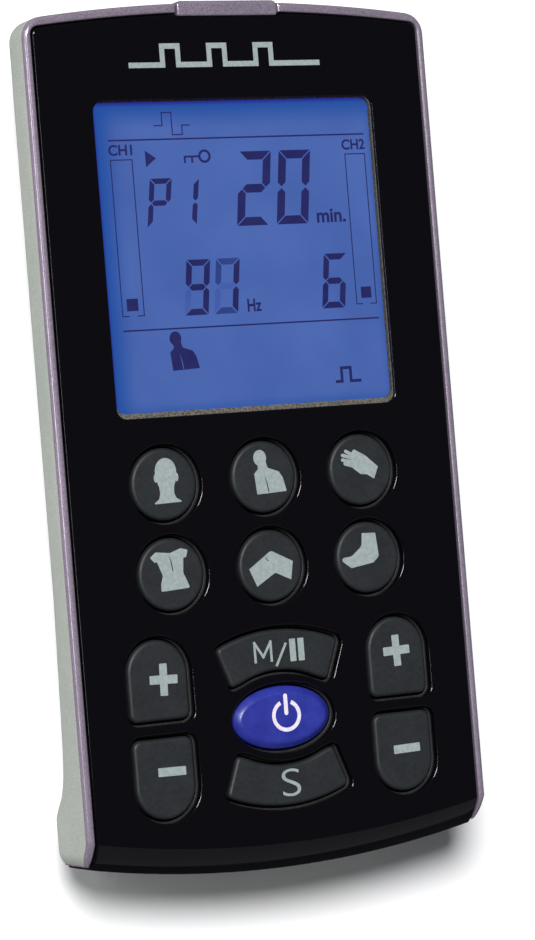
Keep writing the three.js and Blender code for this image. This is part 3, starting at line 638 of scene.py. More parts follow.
def make_faceplate():
    holes = [window_outline(0), *[moved_out(outline, PLATE_CLEARANCE) for outline in KEYS.values()]]
    plate = face_slab("faceplate_gloss", PLATE_PATH, holes, DEPTH, DEPTH - PLATE,
                      edge_radius=0.3, hole_radius=0.24)
    tab = box_outline(-COVER_HALF - GAP, COVER_HALF + GAP, COVER_LIP - GAP, LENGTH)
    cut(plate, prism(tab, DEPTH - 3, DEPTH + 1))
    finished(plate, "case", GLOSS_BLACK, ["faceplate"], sharp=24)


def make_rim():
    shell = Shell()
    inner = moved_out(PLATE_PATH, GAP + 0.1, closed=False)
    floor = DEPTH - BEZEL
    profile = [shell.ring(inner, floor)]
    for inset, drop in reversed(round_edge(RIM_INNER_EDGE, 4)):
        profile.append(shell.ring(moved_out(inner, inset, closed=False), DEPTH - drop))
    for inset, drop in round_edge(RIM_OUTER_EDGE, 8):
        profile.append(shell.ring(moved_out(CASE_PATH, -inset, closed=False), DEPTH - drop))
    tucked = moved_out(CASE_PATH, -LAP - 0.1, closed=False)
    profile += [shell.ring(CASE_PATH, DEPTH - RIM + 0.03),
                shell.ring(moved_out(CASE_PATH, -0.05, closed=False), DEPTH - RIM),
                shell.ring(tucked, DEPTH - RIM), shell.ring(tucked, floor)]
    shell.skin([*profile, profile[0]], closed=False)
    for end in (0, -1):
        shell.faces.append(tuple(ring[end] for ring in profile))
    shell.points = [bent(*point) for point in shell.points]
    rim = cut(shell.build("bezel_rim"), *cover_notch(), *corner_blocks(HALF - LAP - 0.08, RIM + 0.05))
    finished(rim, "case", LAVENDER_PAINT, ["front_bezel"], sharp=40)


def make_ledge():
    """The bezel's inner ledge, which shows as the dark gap round each key."""
    path = moved_out(CASE_PATH, -LAP - 0.2, closed=False)
    lcd_opening = box_outline(-LCD_HALF - 0.3, LCD_HALF + 0.3, LCD_LOW - 0.3, LCD_HIGH + 0.3, 0.5)
    holes = [lcd_opening, *[moved_out(outline, KEY_CLEARANCE) for outline in KEYS.values()]]
    ledge = face_slab("bezel_ledge", path, holes, DEPTH - PLATE - 0.1, DEPTH - BEZEL,
                      edge_radius=0.1, hole_radius=0.1)
    cut(ledge, *cover_notch())
    finished(ledge, "case", BLACK_PLASTIC, ["front_bezel"])


def key_levels(edge):
    """Heights of a key's rings, with how far each stands out from its outline."""
    return [(FLANGE_LOW, KEY_FLANGE), (FLANGE_HIGH, KEY_FLANGE), (FLANGE_HIGH + 0.02, 0.02),
            (FLANGE_HIGH + 0.2, 0), *edge]


def make_keys():
    soft = [(KEY_TOP - drop, -inset) for inset, drop in reversed(round_edge(KEY_EDGE, 7))]
    oval = [(KEY_TOP - 0.85, 0), (KEY_TOP - 0.72, -0.04), (KEY_TOP - 0.62, -0.12), (KEY_TOP - 0.16, -0.72),
            (KEY_TOP - 0.06, -0.88), (KEY_TOP - 0.01, -1.04), (KEY_TOP, -1.25)]
    for name, outline in KEYS.items():
        is_power = name == "key_power"
        key = stack(outline, key_levels(oval if is_power else soft), name + "_cap")
        material, slot = (KEY_BLUE, "key_blue") if is_power else (KEY_GREY, "key_grey")
        finished(key, name, material, [name], sharp=60)


# ---------------------------------------------------------------- back of the case


def bay_blocks():
    reach = BAY_HALF + BAY_WALL
    return [
        box(-reach, reach, BAY_LOW - BAY_WALL, BAY_HIGH + BAY_WALL, 0.5, BAY_CEILING + BAY_WALL),
        box(-reach - 1, reach + 1, BOTTOM_END + 1, DOOR_TOP + 2, 0.5, DOOR_LIP_TOP + 0.2),
    ]


def bay_cuts():
    opening = DOOR_HALF + GAP
    plate = box_outline(-opening, opening, -LENGTH, DOOR_TOP + GAP)
    cuts = [
        stack(box_outline(-BAY_HALF, BAY_HALF, BAY_LOW, BAY_HIGH, 1), [(-5, 0), (BAY_CEILING, 0)]),
        stack(plate, [(-1, 0.25), (0, 0.25), (0.2, 0.05), (0.4, 0), (DOOR_THICKNESS + GAP, 0)]),
        box(-opening, opening, -LENGTH, DOOR_LIP_Y + GAP, -5, DOOR_LIP_TOP + GAP),
    ]
    for side in SIDES:
        near, far = sorted((side * (RAIL_INNER - 0.2), side * (TONGUE + GAP)))
        cuts.append(box(near, far, -LENGTH, BAY_HIGH, DOOR_THICKNESS, RAIL_TOP + 0.2))
        middle = side * CONTACT_X
        cuts.append(box(middle - CONTACT_HALF, middle + CONTACT_HALF, BAY_HIGH - 1, BAY_HIGH + BAY_WALL + 1,
                        CONTACT_LOW, CONTACT_HIGH))
    return cuts


def make_housing():
    tall = 2 * DEPTH
    skirt = below(RIM + 0.1)
    join(skirt, box(-WIDTH, WIDTH, -LENGTH, LENGTH, -1.01, ROLL_FOOT))
    shell = common(case_block(), skirt)
    lap = cut(prism(case_outline(LAP), ROLL_FOOT, tall), below(BEZEL + 0.2))
    end_opening = box(-HALF + WALL, HALF - WALL, -LENGTH, BOTTOM_END + END_OPENING, ROLL_FOOT, tall)
    cut(shell, case_block(WALL), end_opening, lap)
    recess_wall = box(-COVER_HALF - 0.6, COVER_HALF + 0.6, COVER_INNER - 2.2, TOP_END - 1, 2, DEPTH - 3.2)
    join(shell, recess_wall)
    for x, y, _ in CASE_SCREWS:
        boss = turned_on_z(x, y, [(0, POST_RADIUS + 0.2), (BOSS_TOP, POST_RADIUS + 0.2)])
        join(shell, common(boss, case_block()))
    for block in [*bay_blocks(), *corner_blocks(HALF - LAP - 0.05, RIM + 0.1)]:
        join(shell, common(block, case_block()))
    cut(shell, *bay_cuts(), *cover_notch())
    for x, y, seat in CASE_SCREWS:
        well = [(-1, SCREW_HOLE), (seat - 0.3, SCREW_HOLE), (seat, SCREW_HOLE - 0.3)]
        cut(shell, turned_on_z(x, y, [(-1, PILOT_RADIUS), (tall, PILOT_RADIUS)]), turned_on_z(x, y, well))
    mouth = SOCKET_RADIUS + 0.2
    for side in SIDES:
        levels = [(BORE_START, mouth), (58.3, mouth), (58.8, mouth + 0.15), (59.3, mouth + 0.6),
                  (BORE_END, mouth + 3.3)]
        cut(shell, turned_on_y(side * SOCKET_X, SOCKET_Z, levels))
    nose = JACK_NOSE + 0.2
    cut(shell, turned_on_y(0, JACK_Z, [(BORE_START, nose), (58.4, nose), (BORE_END, nose + 3)]))
    pin_bore = PIN_RADIUS + 0.1
    cut(shell, along_x(circle(HINGE_Y, HINGE_Z, pin_bore, 16), -PIN_HALF - 0.2, PIN_HALF + 0.2))
    shell.name = "housing_shell"
    finished(shell, "case", SILVER_PAINT, ["rear_housing"], sharp=32)


def make_door():
    plate = box(-DOOR_HALF, DOOR_HALF, BOTTOM_END - 1, DOOR_TOP, -1, DOOR_THICKNESS)
    lip = box(-DOOR_HALF, DOOR_HALF, BOTTOM_END - 1, DOOR_LIP_Y, -1, DOOR_LIP_TOP)
    door = common(join(plate, lip), case_block())
    rails = []
    for side in SIDES:
        web = sorted((side * RAIL_INNER, side * RAIL_OUTER))
        tongue = sorted((side * (RAIL_OUTER - 0.5), side * TONGUE))
        rails.append(box(*web, BAY_LOW + 2, BAY_HIGH - 0.6, DOOR_THICKNESS - 0.5, RAIL_TOP))
        rails.append(box(*tongue, BAY_LOW + 2, BAY_HIGH - 0.6, TONGUE_LOW, RAIL_TOP))
    join(door, *rails)
    for i in range(GRIP_GROOVES):
        y = GRIP_LOW + GRIP_PITCH * i
        half = GRIP_HALF - 0.5 * abs(i - (GRIP_GROOVES - 1) / 2)
        groove = box_outline(-half, half, y, y + GRIP_WIDTH, 0.42)
        cut(door, stack(groove, [(-1, 0.15), (0.02, 0.15), (0.2, 0.02), (0.45, -0.05), (0.6, -0.2)]))
    arrow = [(-2.2, -36.4), (2.2, -36.4), (0, -38.8)]
    pointer = rounded([(x, y, 0.3) for x, y in reversed(arrow)])
    cut(door, stack(pointer, [(-1, 0.1), (0.02, 0.1), (0.4, -0.1)]))
    door.name = "battery_door_cover"
    finished(door, "battery_door", SILVER_PAINT, ["battery_door"], sharp=32)


def make_port_cover():
    top = TOP_END + COVER_PROUD
    section = rounded([
        (COVER_LIP, DEPTH - COVER_LIP_DEPTH, 0.3), (COVER_INNER, DEPTH - COVER_LIP_DEPTH - 0.3, 0.1),
        (COVER_INNER, HINGE_Z, 0), (top, HINGE_Z, 0), (top, DEPTH, 0.7), (COVER_LIP, DEPTH, 0.3),
    ], 6)
    ends = [(-COVER_HALF, -0.18), (0.08 - COVER_HALF, -0.07), (0.25 - COVER_HALF, 0), (COVER_HALF - 0.25, 0),
            (COVER_HALF - 0.08, -0.07), (COVER_HALF, -0.18)]
    leaf = turned(stack(section, ends), ONTO_X)
    common(leaf, prism(box_outline(-COVER_HALF, COVER_HALF, HINGE_Y - 9, top, 0.8), -1, DEPTH + 1))
    join(leaf, along_x(circle(HINGE_Y, HINGE_Z, HINGE_BARREL), 0.05 - COVER_HALF, COVER_HALF - 0.05))
    cut(leaf, along_x(circle(HINGE_Y, HINGE_Z, PIN_RADIUS + 0.15, 24), -WIDTH, WIDTH))
    leaf.name = "port_cover_leaf"
    finished(leaf, "port_cover", LAVENDER_PAINT, ["port_cover"], sharp=40)


def make_screws():
    """Pan heads with a cross recess, deep in their wells."""
    for i, (x, y, seat) in enumerate(CASE_SCREWS):
        bottom = seat - SCREW_HEAD
        head = [(seat - 0.1, HEAD_RADIUS), (seat - 0.7, HEAD_RADIUS), (bottom + 0.3, 2.1),
                (bottom + 0.08, 1.7), (bottom, 1.1)]
        shank = [(DEPTH - 3.8, 0.9), (DEPTH - 4.2, SHANK_RADIUS), (seat - 0.4, SHANK_RADIUS)]
        screw = turned_on_z(x, y, list(reversed([*shank, *head])))
        for angle in (0.35, 0.35 + RIGHT_ANGLE):
            slot = stack(box_outline(-1.4, 1.4, -0.3, 0.3, 0.2),
                         [(bottom - 1, 0.1), (bottom, 0.1), (bottom + 0.8, -0.15)])
            turned(slot, Matrix.Translation((x * MM, y * MM, 0)) @ Matrix.Rotation(angle, 4, "Z"))
            cut(screw, slot)
        screw.name = f"case_screw_head_{i + 1}"
        finished(screw, "case", STEEL, [f"case_screw_{i + 1}"], sharp=40)


# ---------------------------------------------------------------- display

SEGMENT_Z = LCD_TOP + 0.04
SEGMENT_GAP = 0.22
LAYOUT_X, LAYOUT_Y, LAYOUT_STRETCH = 0.675, ROW_ORIGIN - 0.1, 1.017  # fits the layout to the glass


class Printed(Shell):
    """Flat shapes printed at one height."""

    def __init__(self, z, x=0, y=0, stretch=1):
        super().__init__()
        self.z, self.x, self.y, self.stretch = z, x, y, stretch

    def shape(self, *loops):
        self.fill([self.ring([(x * self.stretch + self.x, y + self.y) for x, y in loop], self.z)
                   for loop in loops])
        self.z += 0.001

    def line(self, points, width):
        for (x0, y0), (x1, y1) in zip(points, points[1:]):
            along = Vector((x1 - x0, y1 - y0)).normalized() * (width / 2)
            across = Vector((-along.y, along.x))
            start, end = Vector((x0, y0)) - along, Vector((x1, y1)) + along
            corners = (start - across, end - across, end + across, start + across)
            self.shape([tuple(corner) for corner in corners])

    def words(self, text, x, y, height, width, weight):
        """Generic lettering, scaled to a height for its capitals and an overall width."""
        curve = bpy.data.curves.new(text, "FONT")
        curve.body = text
        curve.offset = weight
        label = bpy.data.objects.new(text, curve)
        bpy.context.scene.collection.objects.link(label)
        bpy.context.view_layer.update()
        evaluated = label.evaluated_get(bpy.context.evaluated_depsgraph_get())
        mesh = bpy.data.meshes.new_from_object(evaluated)
        xs = [v.co.x for v in mesh.vertices]
        ys = [v.co.y for v in mesh.vertices]
        wide, tall = width / (max(xs) - min(xs)), height / (max(ys) - min(ys))
        first = len(self.points)
        for vertex in mesh.vertices:
            self.points.append((self.x + x * self.stretch + (vertex.co.x - min(xs)) * wide,
                                self.y + y + (vertex.co.y - min(ys)) * tall, self.z))
        self.faces += [tuple(first + i for i in face.vertices) for face in mesh.polygons]
        bpy.data.objects.remove(label)

    def printed(self, name, body, material, slot):
        return finished(self.build(name), body, material)


def digit_segments(w, h, t, slant):
    """The seven bars of a digit, w wide and h high with bars t thick, leaning forward by the slant."""
    middle = h / 2
    g = SEGMENT_GAP / 2
    bars = {
        "top": [(g, h), (w - g, h), (w - t - g, h - t), (t + g, h - t)],
        "bottom": [(g, 0), (t + g, t), (w - t - g, t), (w - g, 0)],
        "middle": [(t / 2 + g, middle), (t + g, middle + t / 2), (w - t - g, middle + t / 2),
                   (w - t / 2 - g, middle), (w - t - g, middle - t / 2), (t + g, middle - t / 2)],
        "upper_left": [(0, h - g), (t, h - t - g), (t, middle + t / 2 + g), (t / 2, middle + g),
                       (0, middle + t / 2 + g)],
        "upper_right": [(w, h - g), (w, middle + t / 2 + g), (w - t / 2, middle + g),
                        (w - t, middle + t / 2 + g), (w - t, h - t - g)],
        "lower_left": [(0, g), (0, middle - t / 2 - g), (t / 2, middle - g),
                       (t, middle - t / 2 - g), (t, t + g)],
        "lower_right": [(w, g), (w - t, t + g), (w - t, middle - t / 2 - g),
                        (w - t / 2, middle - g), (w, middle - t / 2 - g)],
    }
    return {name: [(x + slant * y / h, y) for x, y in bar] for name, bar in bars.items()}


DIGITS = {
    "0": ("top", "bottom", "upper_left", "upper_right", "lower_left", "lower_right"),
    "1": ("upper_right", "lower_right"),
    "2": ("top", "upper_right", "middle", "lower_left", "bottom"),
    "6": ("top", "upper_left", "middle", "lower_left", "lower_right", "bottom"),
    "9": ("top", "upper_left", "upper_right", "middle", "lower_right", "bottom"),
    "P": ("top", "upper_left", "upper_right", "middle", "lower_left"),
}


def draw_digit(layer, bars, x, y, width, height, weight, slant=0.9):
    """Prints a digit, given by its character or the names of its bars."""
    for name, bar in digit_segments(width, height, weight, slant).items():
        if name in DIGITS.get(bars, bars):
            layer.shape([(x + u, y + v) for u, v in ensure_ccw(bar)])


def ensure_ccw(outline):
    area = sum(x0 * y1 - x1 * y0 for (x0, y0), (x1, y1) in zip(outline, outline[1:] + outline[:1]))
    return outline if area > 0 else outline[::-1]


def make_window():
    """The seal round the window, its clear pane, and the lit glass behind it."""
    seal_outer = window_outline(-0.02)
    opening = box_outline(-SEAL_INNER, SEAL_INNER, SEAL_LOW, SEAL_HIGH, 1.35)
    seal = Shell()
    low, high = LCD_TOP + 0.1, PANE_TOP - 0.05
    rings = [seal.ring(opening, low), seal.ring(opening, high - 0.05),
             seal.ring(moved_out(opening, 0.04), high)]
    outside = [seal.ring(seal_outer, low), seal.ring(seal_outer, high)]
    seal.skin(rings)
    seal.skin(outside)
    seal.fill([outside[1], rings[2]])
    seal.fill([outside[0], rings[0]])
    finished(seal.build("window_seal"), "case", SEAL, ["window_gasket"])

    pane_outline = moved_out(opening, -0.03)
    levels = [(PANE_TOP - PANE_THICKNESS, 0), (PANE_TOP - 0.08, 0), (PANE_TOP, -0.08)]
    pane = stack(pane_outline, levels, "window_pane")
    finished(pane, "case", CLEAR, ["display_window"])

    glass = box_outline(-LCD_HALF, LCD_HALF, LCD_LOW, LCD_HIGH, 0.3)
    levels = [(LCD_TOP - LCD_THICKNESS, -0.1), (LCD_TOP - LCD_THICKNESS + 0.1, 0),
              (LCD_TOP - 0.1, 0), (LCD_TOP, -0.1)]
    finished(stack(glass, levels, "lcd_panel"), "case", LCD_GLOW_WITH_PAINTED_SHADOW, ["lcd_glass"])


def make_segments():
    """What the display shows, in segments that are lit, fading or all but off."""
    dark, fading, faint = (Printed(SEGMENT_Z - 0.01 * i, LAYOUT_X, LAYOUT_Y, LAYOUT_STRETCH)
                           for i in range(3))
    dark.line([(-12.5, 49.5), (-11.3, 49.5), (-11.3, 51.3), (-9.85, 51.3), (-9.85, 48.2), (-8.35, 48.2),
               (-8.35, 49.5), (-7.2, 49.5)], 0.17)
    dark.line([(-19.4, 47.6), (19.5, 47.6)], 0.22)
    dark.line([(-19.4, 21.4), (19.6, 21.4)], 0.22)
    dark.words("CH1", -19.6, 45.5, 1.5, 3.6, 0.025)
    dark.words("CH2", 16.0, 45.4, 1.5, 3.7, 0.025)
    for left, right, low, high in ((-19.4, -16.2, 23.4, 44.9), (16.4, 19.5, 23.5, 44.8)):
        dark.line([(left + 0.9, low), (left, low), (left, high), (right, high), (right, low),
                   (right - 0.9, low)], 0.15)
    dark.shape(box_outline(-18.7, -17.0, 24.1, 25.8))
    dark.shape(box_outline(17.2, 18.8, 24.3, 25.9))
    dark.shape([(-14.2, 43.8), (-12.6, 45.0), (-14.2, 46.1)])
    dark.shape(circle(-5.3, 45.1, 0.95, 24), circle(-5.3, 45.1, 0.6, 24))
    dark.line([(-6.3, 45.1), (-8.3, 45.1), (-8.3, 44.35)], 0.28)
    dark.line([(-7.2, 45.1), (-7.2, 44.35)], 0.28)
    draw_digit(dark, "P", -14.7, 35.4, 3.3, 6.8, 0.75)
    draw_digit(dark, "1", -10.6, 35.6, 3.3, 6.5, 0.75)
    draw_digit(dark, "2", -1.2, 35.2, 4.9, 10.4, 1.2, 1.2)
    draw_digit(dark, "0", 4.9, 35.2, 4.9, 10.4, 1.2, 1.2)
    dark.words("min.", 11.2, 35.2, 1.95, 4.6, 0.025)
    ninety = (23.1, 3.6, 7.7, 0.88)
    draw_digit(dark, "9", -10.2, *ninety)
    draw_digit(faint, ("lower_left",), -10.2, *ninety)
    draw_digit(dark, "1", -5.7, *ninety)
    draw_digit(fading, ("top", "upper_left", "bottom"), -5.7, *ninety)
    draw_digit(faint, ("middle", "lower_left"), -5.7, *ninety)
    draw_digit(dark, "6", 10.9, *ninety)
    dark.words("Hz", -0.6, 23.2, 1.8, 2.2, 0.025)
    for shape in torso_icon():
        dark.shape(*[[(0.88 * x - 11.5, 0.88 * y + 17.7) for x, y in loop] for loop in shape])
    dark.line([(12.3, 12.7), (13.1, 12.7), (13.1, 14.6), (14.5, 14.6), (14.5, 12.7), (15.9, 12.7)], 0.42)
    dark.printed("lcd_segments", "case", LCD_DARK, "lcd_glass")
    fading.printed("lcd_fading_segments", "case", LCD_FADING, "lcd_glass")
    faint.printed("lcd_unlit_segments", "case", LCD_FAINT, "lcd_glass")


# ---------------------------------------------------------------- printed marks on the keys and the plate


def capsule(x0, y0, x1, y1, width):
    along = math.atan2(y1 - y0, x1 - x0)
    points = []
    for x, y, start in ((x1, y1, along - RIGHT_ANGLE), (x0, y0, along + RIGHT_ANGLE)):
        angles = [start + math.pi * k / 8 for k in range(9)]
        points += [(x + width / 2 * math.cos(angle), y + width / 2 * math.sin(angle)) for angle in angles]
    return points


def head_icon():
    neck = rounded([(-1.9, -2.65, 0.1), (2.65, -2.55, 0.1), (1.6, -1.95, 0.6), (1.35, -1.2, 0.5),
                    (1.55, 0.6, 0), (-0.95, 0.6, 0), (-0.75, -1.2, 0.5), (-0.95, -2.0, 0.6)])
    return [[ellipse(0.3, 1.75, 1.62, 1.85, 40)], [ellipse(0.3, 0.75, 1.42, 1.75, 40)], [neck],
            [ellipse(-1.25, 0.9, 0.3, 0.6, 20)], [ellipse(1.88, 0.9, 0.3, 0.6, 20)]]


def torso_icon():
    body = rounded([(-1.25, -2.4, 0.12), (3.35, -2.2, 0.12), (2.9, -0.3, 0.4), (2.35, 0.6, 0.5),
                    (0.65, 1.2, 0.4), (0.4, 2.2, 0), (-0.9, 2.2, 0), (-0.85, 1.1, 0.3), (-1.5, 0.5, 0.2)])
    spine = [(0.5, -2.2), (0.66, -2.2), (0.42, -0.8), (0.05, 0.3), (0.28, -0.8)]
    return [[body, spine], [ellipse(-0.45, 2.65, 1.0, 1.12, 32)]]


def hand_icon():
    palm = rounded([(2.75, 0.25, 0.1), (0.9, 1.9, 0.6), (-0.95, 2.95, 0.3), (-1.45, 2.2, 0.3),
                    (-1.5, 0.45, 0.3), (-0.1, -0.65, 0.6), (0.9, -0.75, 0.3), (2.0, -1.45, 0.1)])
    fingers = ((2.0, -2.2, 2.68), (1.6, -2.75, 2.15), (1.05, -2.8, 1.5), (0.5, -2.45, 0.95))
    return [[palm], *[[capsule(-1.0, root, tip_x, tip_y, 0.5)] for root, tip_x, tip_y in fingers]]


def back_icon():
    body = rounded([(-1.75, -2.25, 0.15), (2.6, -2.0, 0.15), (2.3, -1.1, 0.5), (1.75, 0.1, 0.8),
                    (1.95, 2.2, 0.2), (2.35, 2.2, 0.1), (2.7, 3.2, 0.2), (1.6, 3.5, 0.4),
                    (0.0, 2.95, 0.6), (-2.2, 3.2, 0.4), (-3.1, 2.5, 0.15), (-2.4, 1.75, 0.1),
                    (-2.1, 1.9, 0.1), (-1.35, -0.1, 0.8), (-1.7, -1.2, 0.5)])
    spine = [(0.3, 0.45), (0.12, 1.8), (-0.25, 2.8), (-0.04, 1.8), (0.16, 0.45)]
    return [[body, ensure_ccw(spine)]]


def knee_icon():
    leg = rounded([(-3.45, -0.25, 0.1), (-2.4, -2.75, 0.1), (0.55, -1.0, 0.4), (2.95, -2.15, 0.1),
                   (3.4, 0.4, 0.1), (0.1, 2.1, 0.7)])
    crease = [(-0.85, 1.15), (-0.55, 0.72), (-0.2, 0.65), (-0.5, 0.84), (-0.75, 1.2)]
    return [[leg, ensure_ccw(crease)]]


def foot_icon():
    foot = rounded([(-0.7, 3.45, 0.1), (-0.9, 1.6, 1.0), (-2.6, 0.3, 1.2), (-4.15, 0.15, 0.3),
                    (-4.05, -0.35, 0.3), (-2.75, -1.35, 0.3), (0.8, -0.8, 0.8), (1.75, 0.0, 0.7),
                    (1.45, 3.35, 0.1)])
    return [[foot]]


def make_marks():
    icons = (head_icon, torso_icon, hand_icon, back_icon, knee_icon, foot_icon)
    height = KEY_TOP + KEY_MARK_RISE
    for i, (name, icon) in enumerate(zip(TREATMENT_KEYS, icons)):
        mark = Printed(height, *treatment_place(i))
        for loops in icon():
            mark.shape(*[ensure_ccw(loop) for loop in loops])
        mark.printed(name + "_mark", name, MARK_GREY, "key_grey")

    bars = {
        "key_ch1_up": ((-17.8, -26.6, -0.03), True), "key_ch2_up": ((18.6, -25.85, 0.03), True),
        "key_ch1_down": ((-17.6, -39.2, -0.02), False), "key_ch2_down": ((19.05, -39.75, 0.02), False),
    }
    for name, ((x, y, tilt), crossed) in bars.items():
        mark = Printed(height, x, y + ROW_ORIGIN)
        bar = box_outline(-2.1, 2.1, -0.6, 0.6, 0.12)
        spin = Matrix.Rotation(tilt, 2)
        mark.shape([tuple(spin @ Vector(p)) for p in bar])
        if crossed:
            upright = [tuple(spin @ Vector((0.95 * y, 1.05 * x))) for x, y in bar]
            mark.shape(ensure_ccw(upright))
        mark.printed(name + "_mark", name, MARK_GREY, "key_grey")

    mode = Printed(height, 0, ROW_ORIGIN)
    mode.line([(-3.6, -25.5), (-3.6, -22.9), (-2.35, -24.9), (-1.1, -22.9), (-1.1, -25.5)], 0.36)
    mode.line([(1.2, -23.4), (-0.35, -26.2)], 0.36)
    mode.shape(box_outline(1.8, 2.75, -25.9, -22.75, 0.1))
    mode.shape(box_outline(3.1, 4.05, -25.9, -22.75, 0.1))
    mode.printed("key_mode_mark", "key_mode", MARK_GREY, "key_grey")
    letter = Printed(height, 0, ROW_ORIGIN)
    letter.words("S", -1.05, -44.5, 3.8, 2.9, -0.012)
    letter.printed("key_set_mark", "key_set", MARK_GREY, "key_grey")

    power = Printed(height, 0.5, -33.3 + ROW_ORIGIN)
    gap, outer, inner = 0.42, 2.25, 1.7  # half the opening's angle, and the radii of the broken ring
    arc = [RIGHT_ANGLE + gap + (2 * math.pi - 2 * gap) * k / 36 for k in range(37)]
    outside = [(outer * math.cos(a), outer * math.sin(a)) for a in arc]
    inside = [(inner * math.cos(a), inner * math.sin(a)) for a in reversed(arc)]
    power.shape(outside + inside)
    power.shape(capsule(0, 0.35, 0, 2.75, 0.6))
    power.printed("key_power_mark", "key_power", MARK_PINK, "key_blue")

    trace = Printed(DEPTH + PLATE_MARK_RISE, 0, ROW_ORIGIN)
    low, high = 57.6, 60.2
    wave = [(-15.4, low)]
    for left, right in ((-10.6, -8.2), (-3.4, -1.0), (3.8, 6.2)):
        wave += [(left, low), (left, high), (right, high), (right, low)]
    trace.line([*wave, (13.4, low)], 0.75)
    trace.printed("plate_trace", "case", MARK_GREY, "gloss_black")


# ---------------------------------------------------------------- materials


def srgb(red, green, blue):
    """A displayed 0-255 colour as the linear values that shaders take."""
    linear = [((c / 255 + 0.055) / 1.055) ** 2.4 if c > 10 else c / 255 / 12.92 for c in (red, green, blue)]
    return (*linear, 1)


def new_material(name, **settings):
    """A material and its shader, with uniform settings given by the shader's own socket names."""
    material = bpy.data.materials.new(name)
    material.use_nodes = True
    shader = material.node_tree.nodes["Principled BSDF"]
    for socket, value in settings.items():
        shader.inputs[socket.replace("_", " ")].default_value = value
    return material, shader


def noise(tree, size, detail=3, stretch=(1, 1, 1)):
    """Noise whose features are about this many millimetres across."""
    place = tree.nodes.new("ShaderNodeTexCoord")
    scale = tree.nodes.new("ShaderNodeMapping")
    scale.inputs["Scale"].default_value = [1 / (size * MM * factor) for factor in stretch]
    texture = tree.nodes.new("ShaderNodeTexNoise")
    texture.inputs["Scale"].default_value = 1
    texture.inputs["Detail"].default_value = detail
    tree.links.new(place.outputs["Object"], scale.inputs["Vector"])
    tree.links.new(scale.outputs["Vector"], texture.inputs["Vector"])
    return texture.outputs["Fac"]


def ramp(tree, source, low, high, start=0.35, end=0.65):
    blend = tree.nodes.new("ShaderNodeValToRGB")
    blend.color_ramp.elements[0].position = start
    blend.color_ramp.elements[0].color = low
    blend.color_ramp.elements[1].position = end
    blend.color_ramp.elements[1].color = high
    tree.links.new(source, blend.inputs["Fac"])
    return blend.outputs["Color"]


def spread(tree, source, low, high):
    """Noise, which mostly lies between 0.3 and 0.7, spread over a range of values."""
    remap = tree.nodes.new("ShaderNodeMapRange")
    for socket, value in (("From Min", 0.3), ("From Max", 0.7), ("To Min", low), ("To Max", high)):
        remap.inputs[socket].default_value = value
    tree.links.new(source, remap.inputs["Value"])
    return remap.outputs["Result"]


def bump(tree, source, height, under=None):
    """Relief of this height in millimetres, on top of any relief under it."""
    relief = tree.nodes.new("ShaderNodeBump")
    relief.inputs["Distance"].default_value = height * MM
    relief.inputs["Strength"].default_value = 1
    tree.links.new(source, relief.inputs["Height"])
    if under:
        tree.links.new(under, relief.inputs["Normal"])
    return relief.outputs["Normal"]


def surface(name, low, high, tone, grain, relief, roughness, **settings):
    """A moulded or painted surface: a slow drift in tone, a fine grain, and uneven gloss."""
    material, shader = new_material(name, **settings)
    tree = material.node_tree
    tree.links.new(ramp(tree, noise(tree, tone), srgb(*low), srgb(*high)), shader.inputs["Base Color"])
    fine = noise(tree, grain, 4)
    tree.links.new(bump(tree, fine, relief), shader.inputs["Normal"])
    tree.links.new(spread(tree, noise(tree, grain * 6), *roughness), shader.inputs["Roughness"])
    return material


def metallic_paint(name, low, high, flake_low, flake_high, roughness, metallic):
    """Paint with fine flakes in it over a faint orange peel."""
    material, shader = new_material(name, Metallic=metallic)
    tree = material.node_tree
    drift = ramp(tree, noise(tree, 9, 2, (1, 2.5, 1)), srgb(*low), srgb(*high), 0.3, 0.7)
    flakes = ramp(tree, noise(tree, 0.16, 2), srgb(*flake_low), srgb(*flake_high), 0.3, 0.72)
    mix = tree.nodes.new("ShaderNodeMix")
    mix.data_type = "RGBA"
    mix.blend_type = "MULTIPLY"
    mix.inputs["Factor"].default_value = 1
    tree.links.new(drift, mix.inputs[6])
    tree.links.new(flakes, mix.inputs[7])
    tree.links.new(mix.outputs[2], shader.inputs["Base Color"])
    peel = bump(tree, noise(tree, 0.9, 2), 0.006)
    tree.links.new(bump(tree, noise(tree, 0.12, 2), 0.004, under=peel), shader.inputs["Normal"])
    tree.links.new(spread(tree, noise(tree, 0.3), *roughness), shader.inputs["Roughness"])
    return material


def plate_gloss():
    """Polished black acrylic with a trace of dust and handling."""
    material, shader = new_material("gloss_black_acrylic", Specular_IOR_Level=0.3)
    tree = material.node_tree
    tree.links.new(ramp(tree, noise(tree, 0.35, 5), srgb(8, 7, 11), srgb(12, 11, 15), 0.55, 0.8),
                   shader.inputs["Base Color"])
    tree.links.new(spread(tree, noise(tree, 14, 3), 0.05, 0.13), shader.inputs["Roughness"])
    tree.links.new(bump(tree, noise(tree, 16, 1), 0.012), shader.inputs["Normal"])
    return material


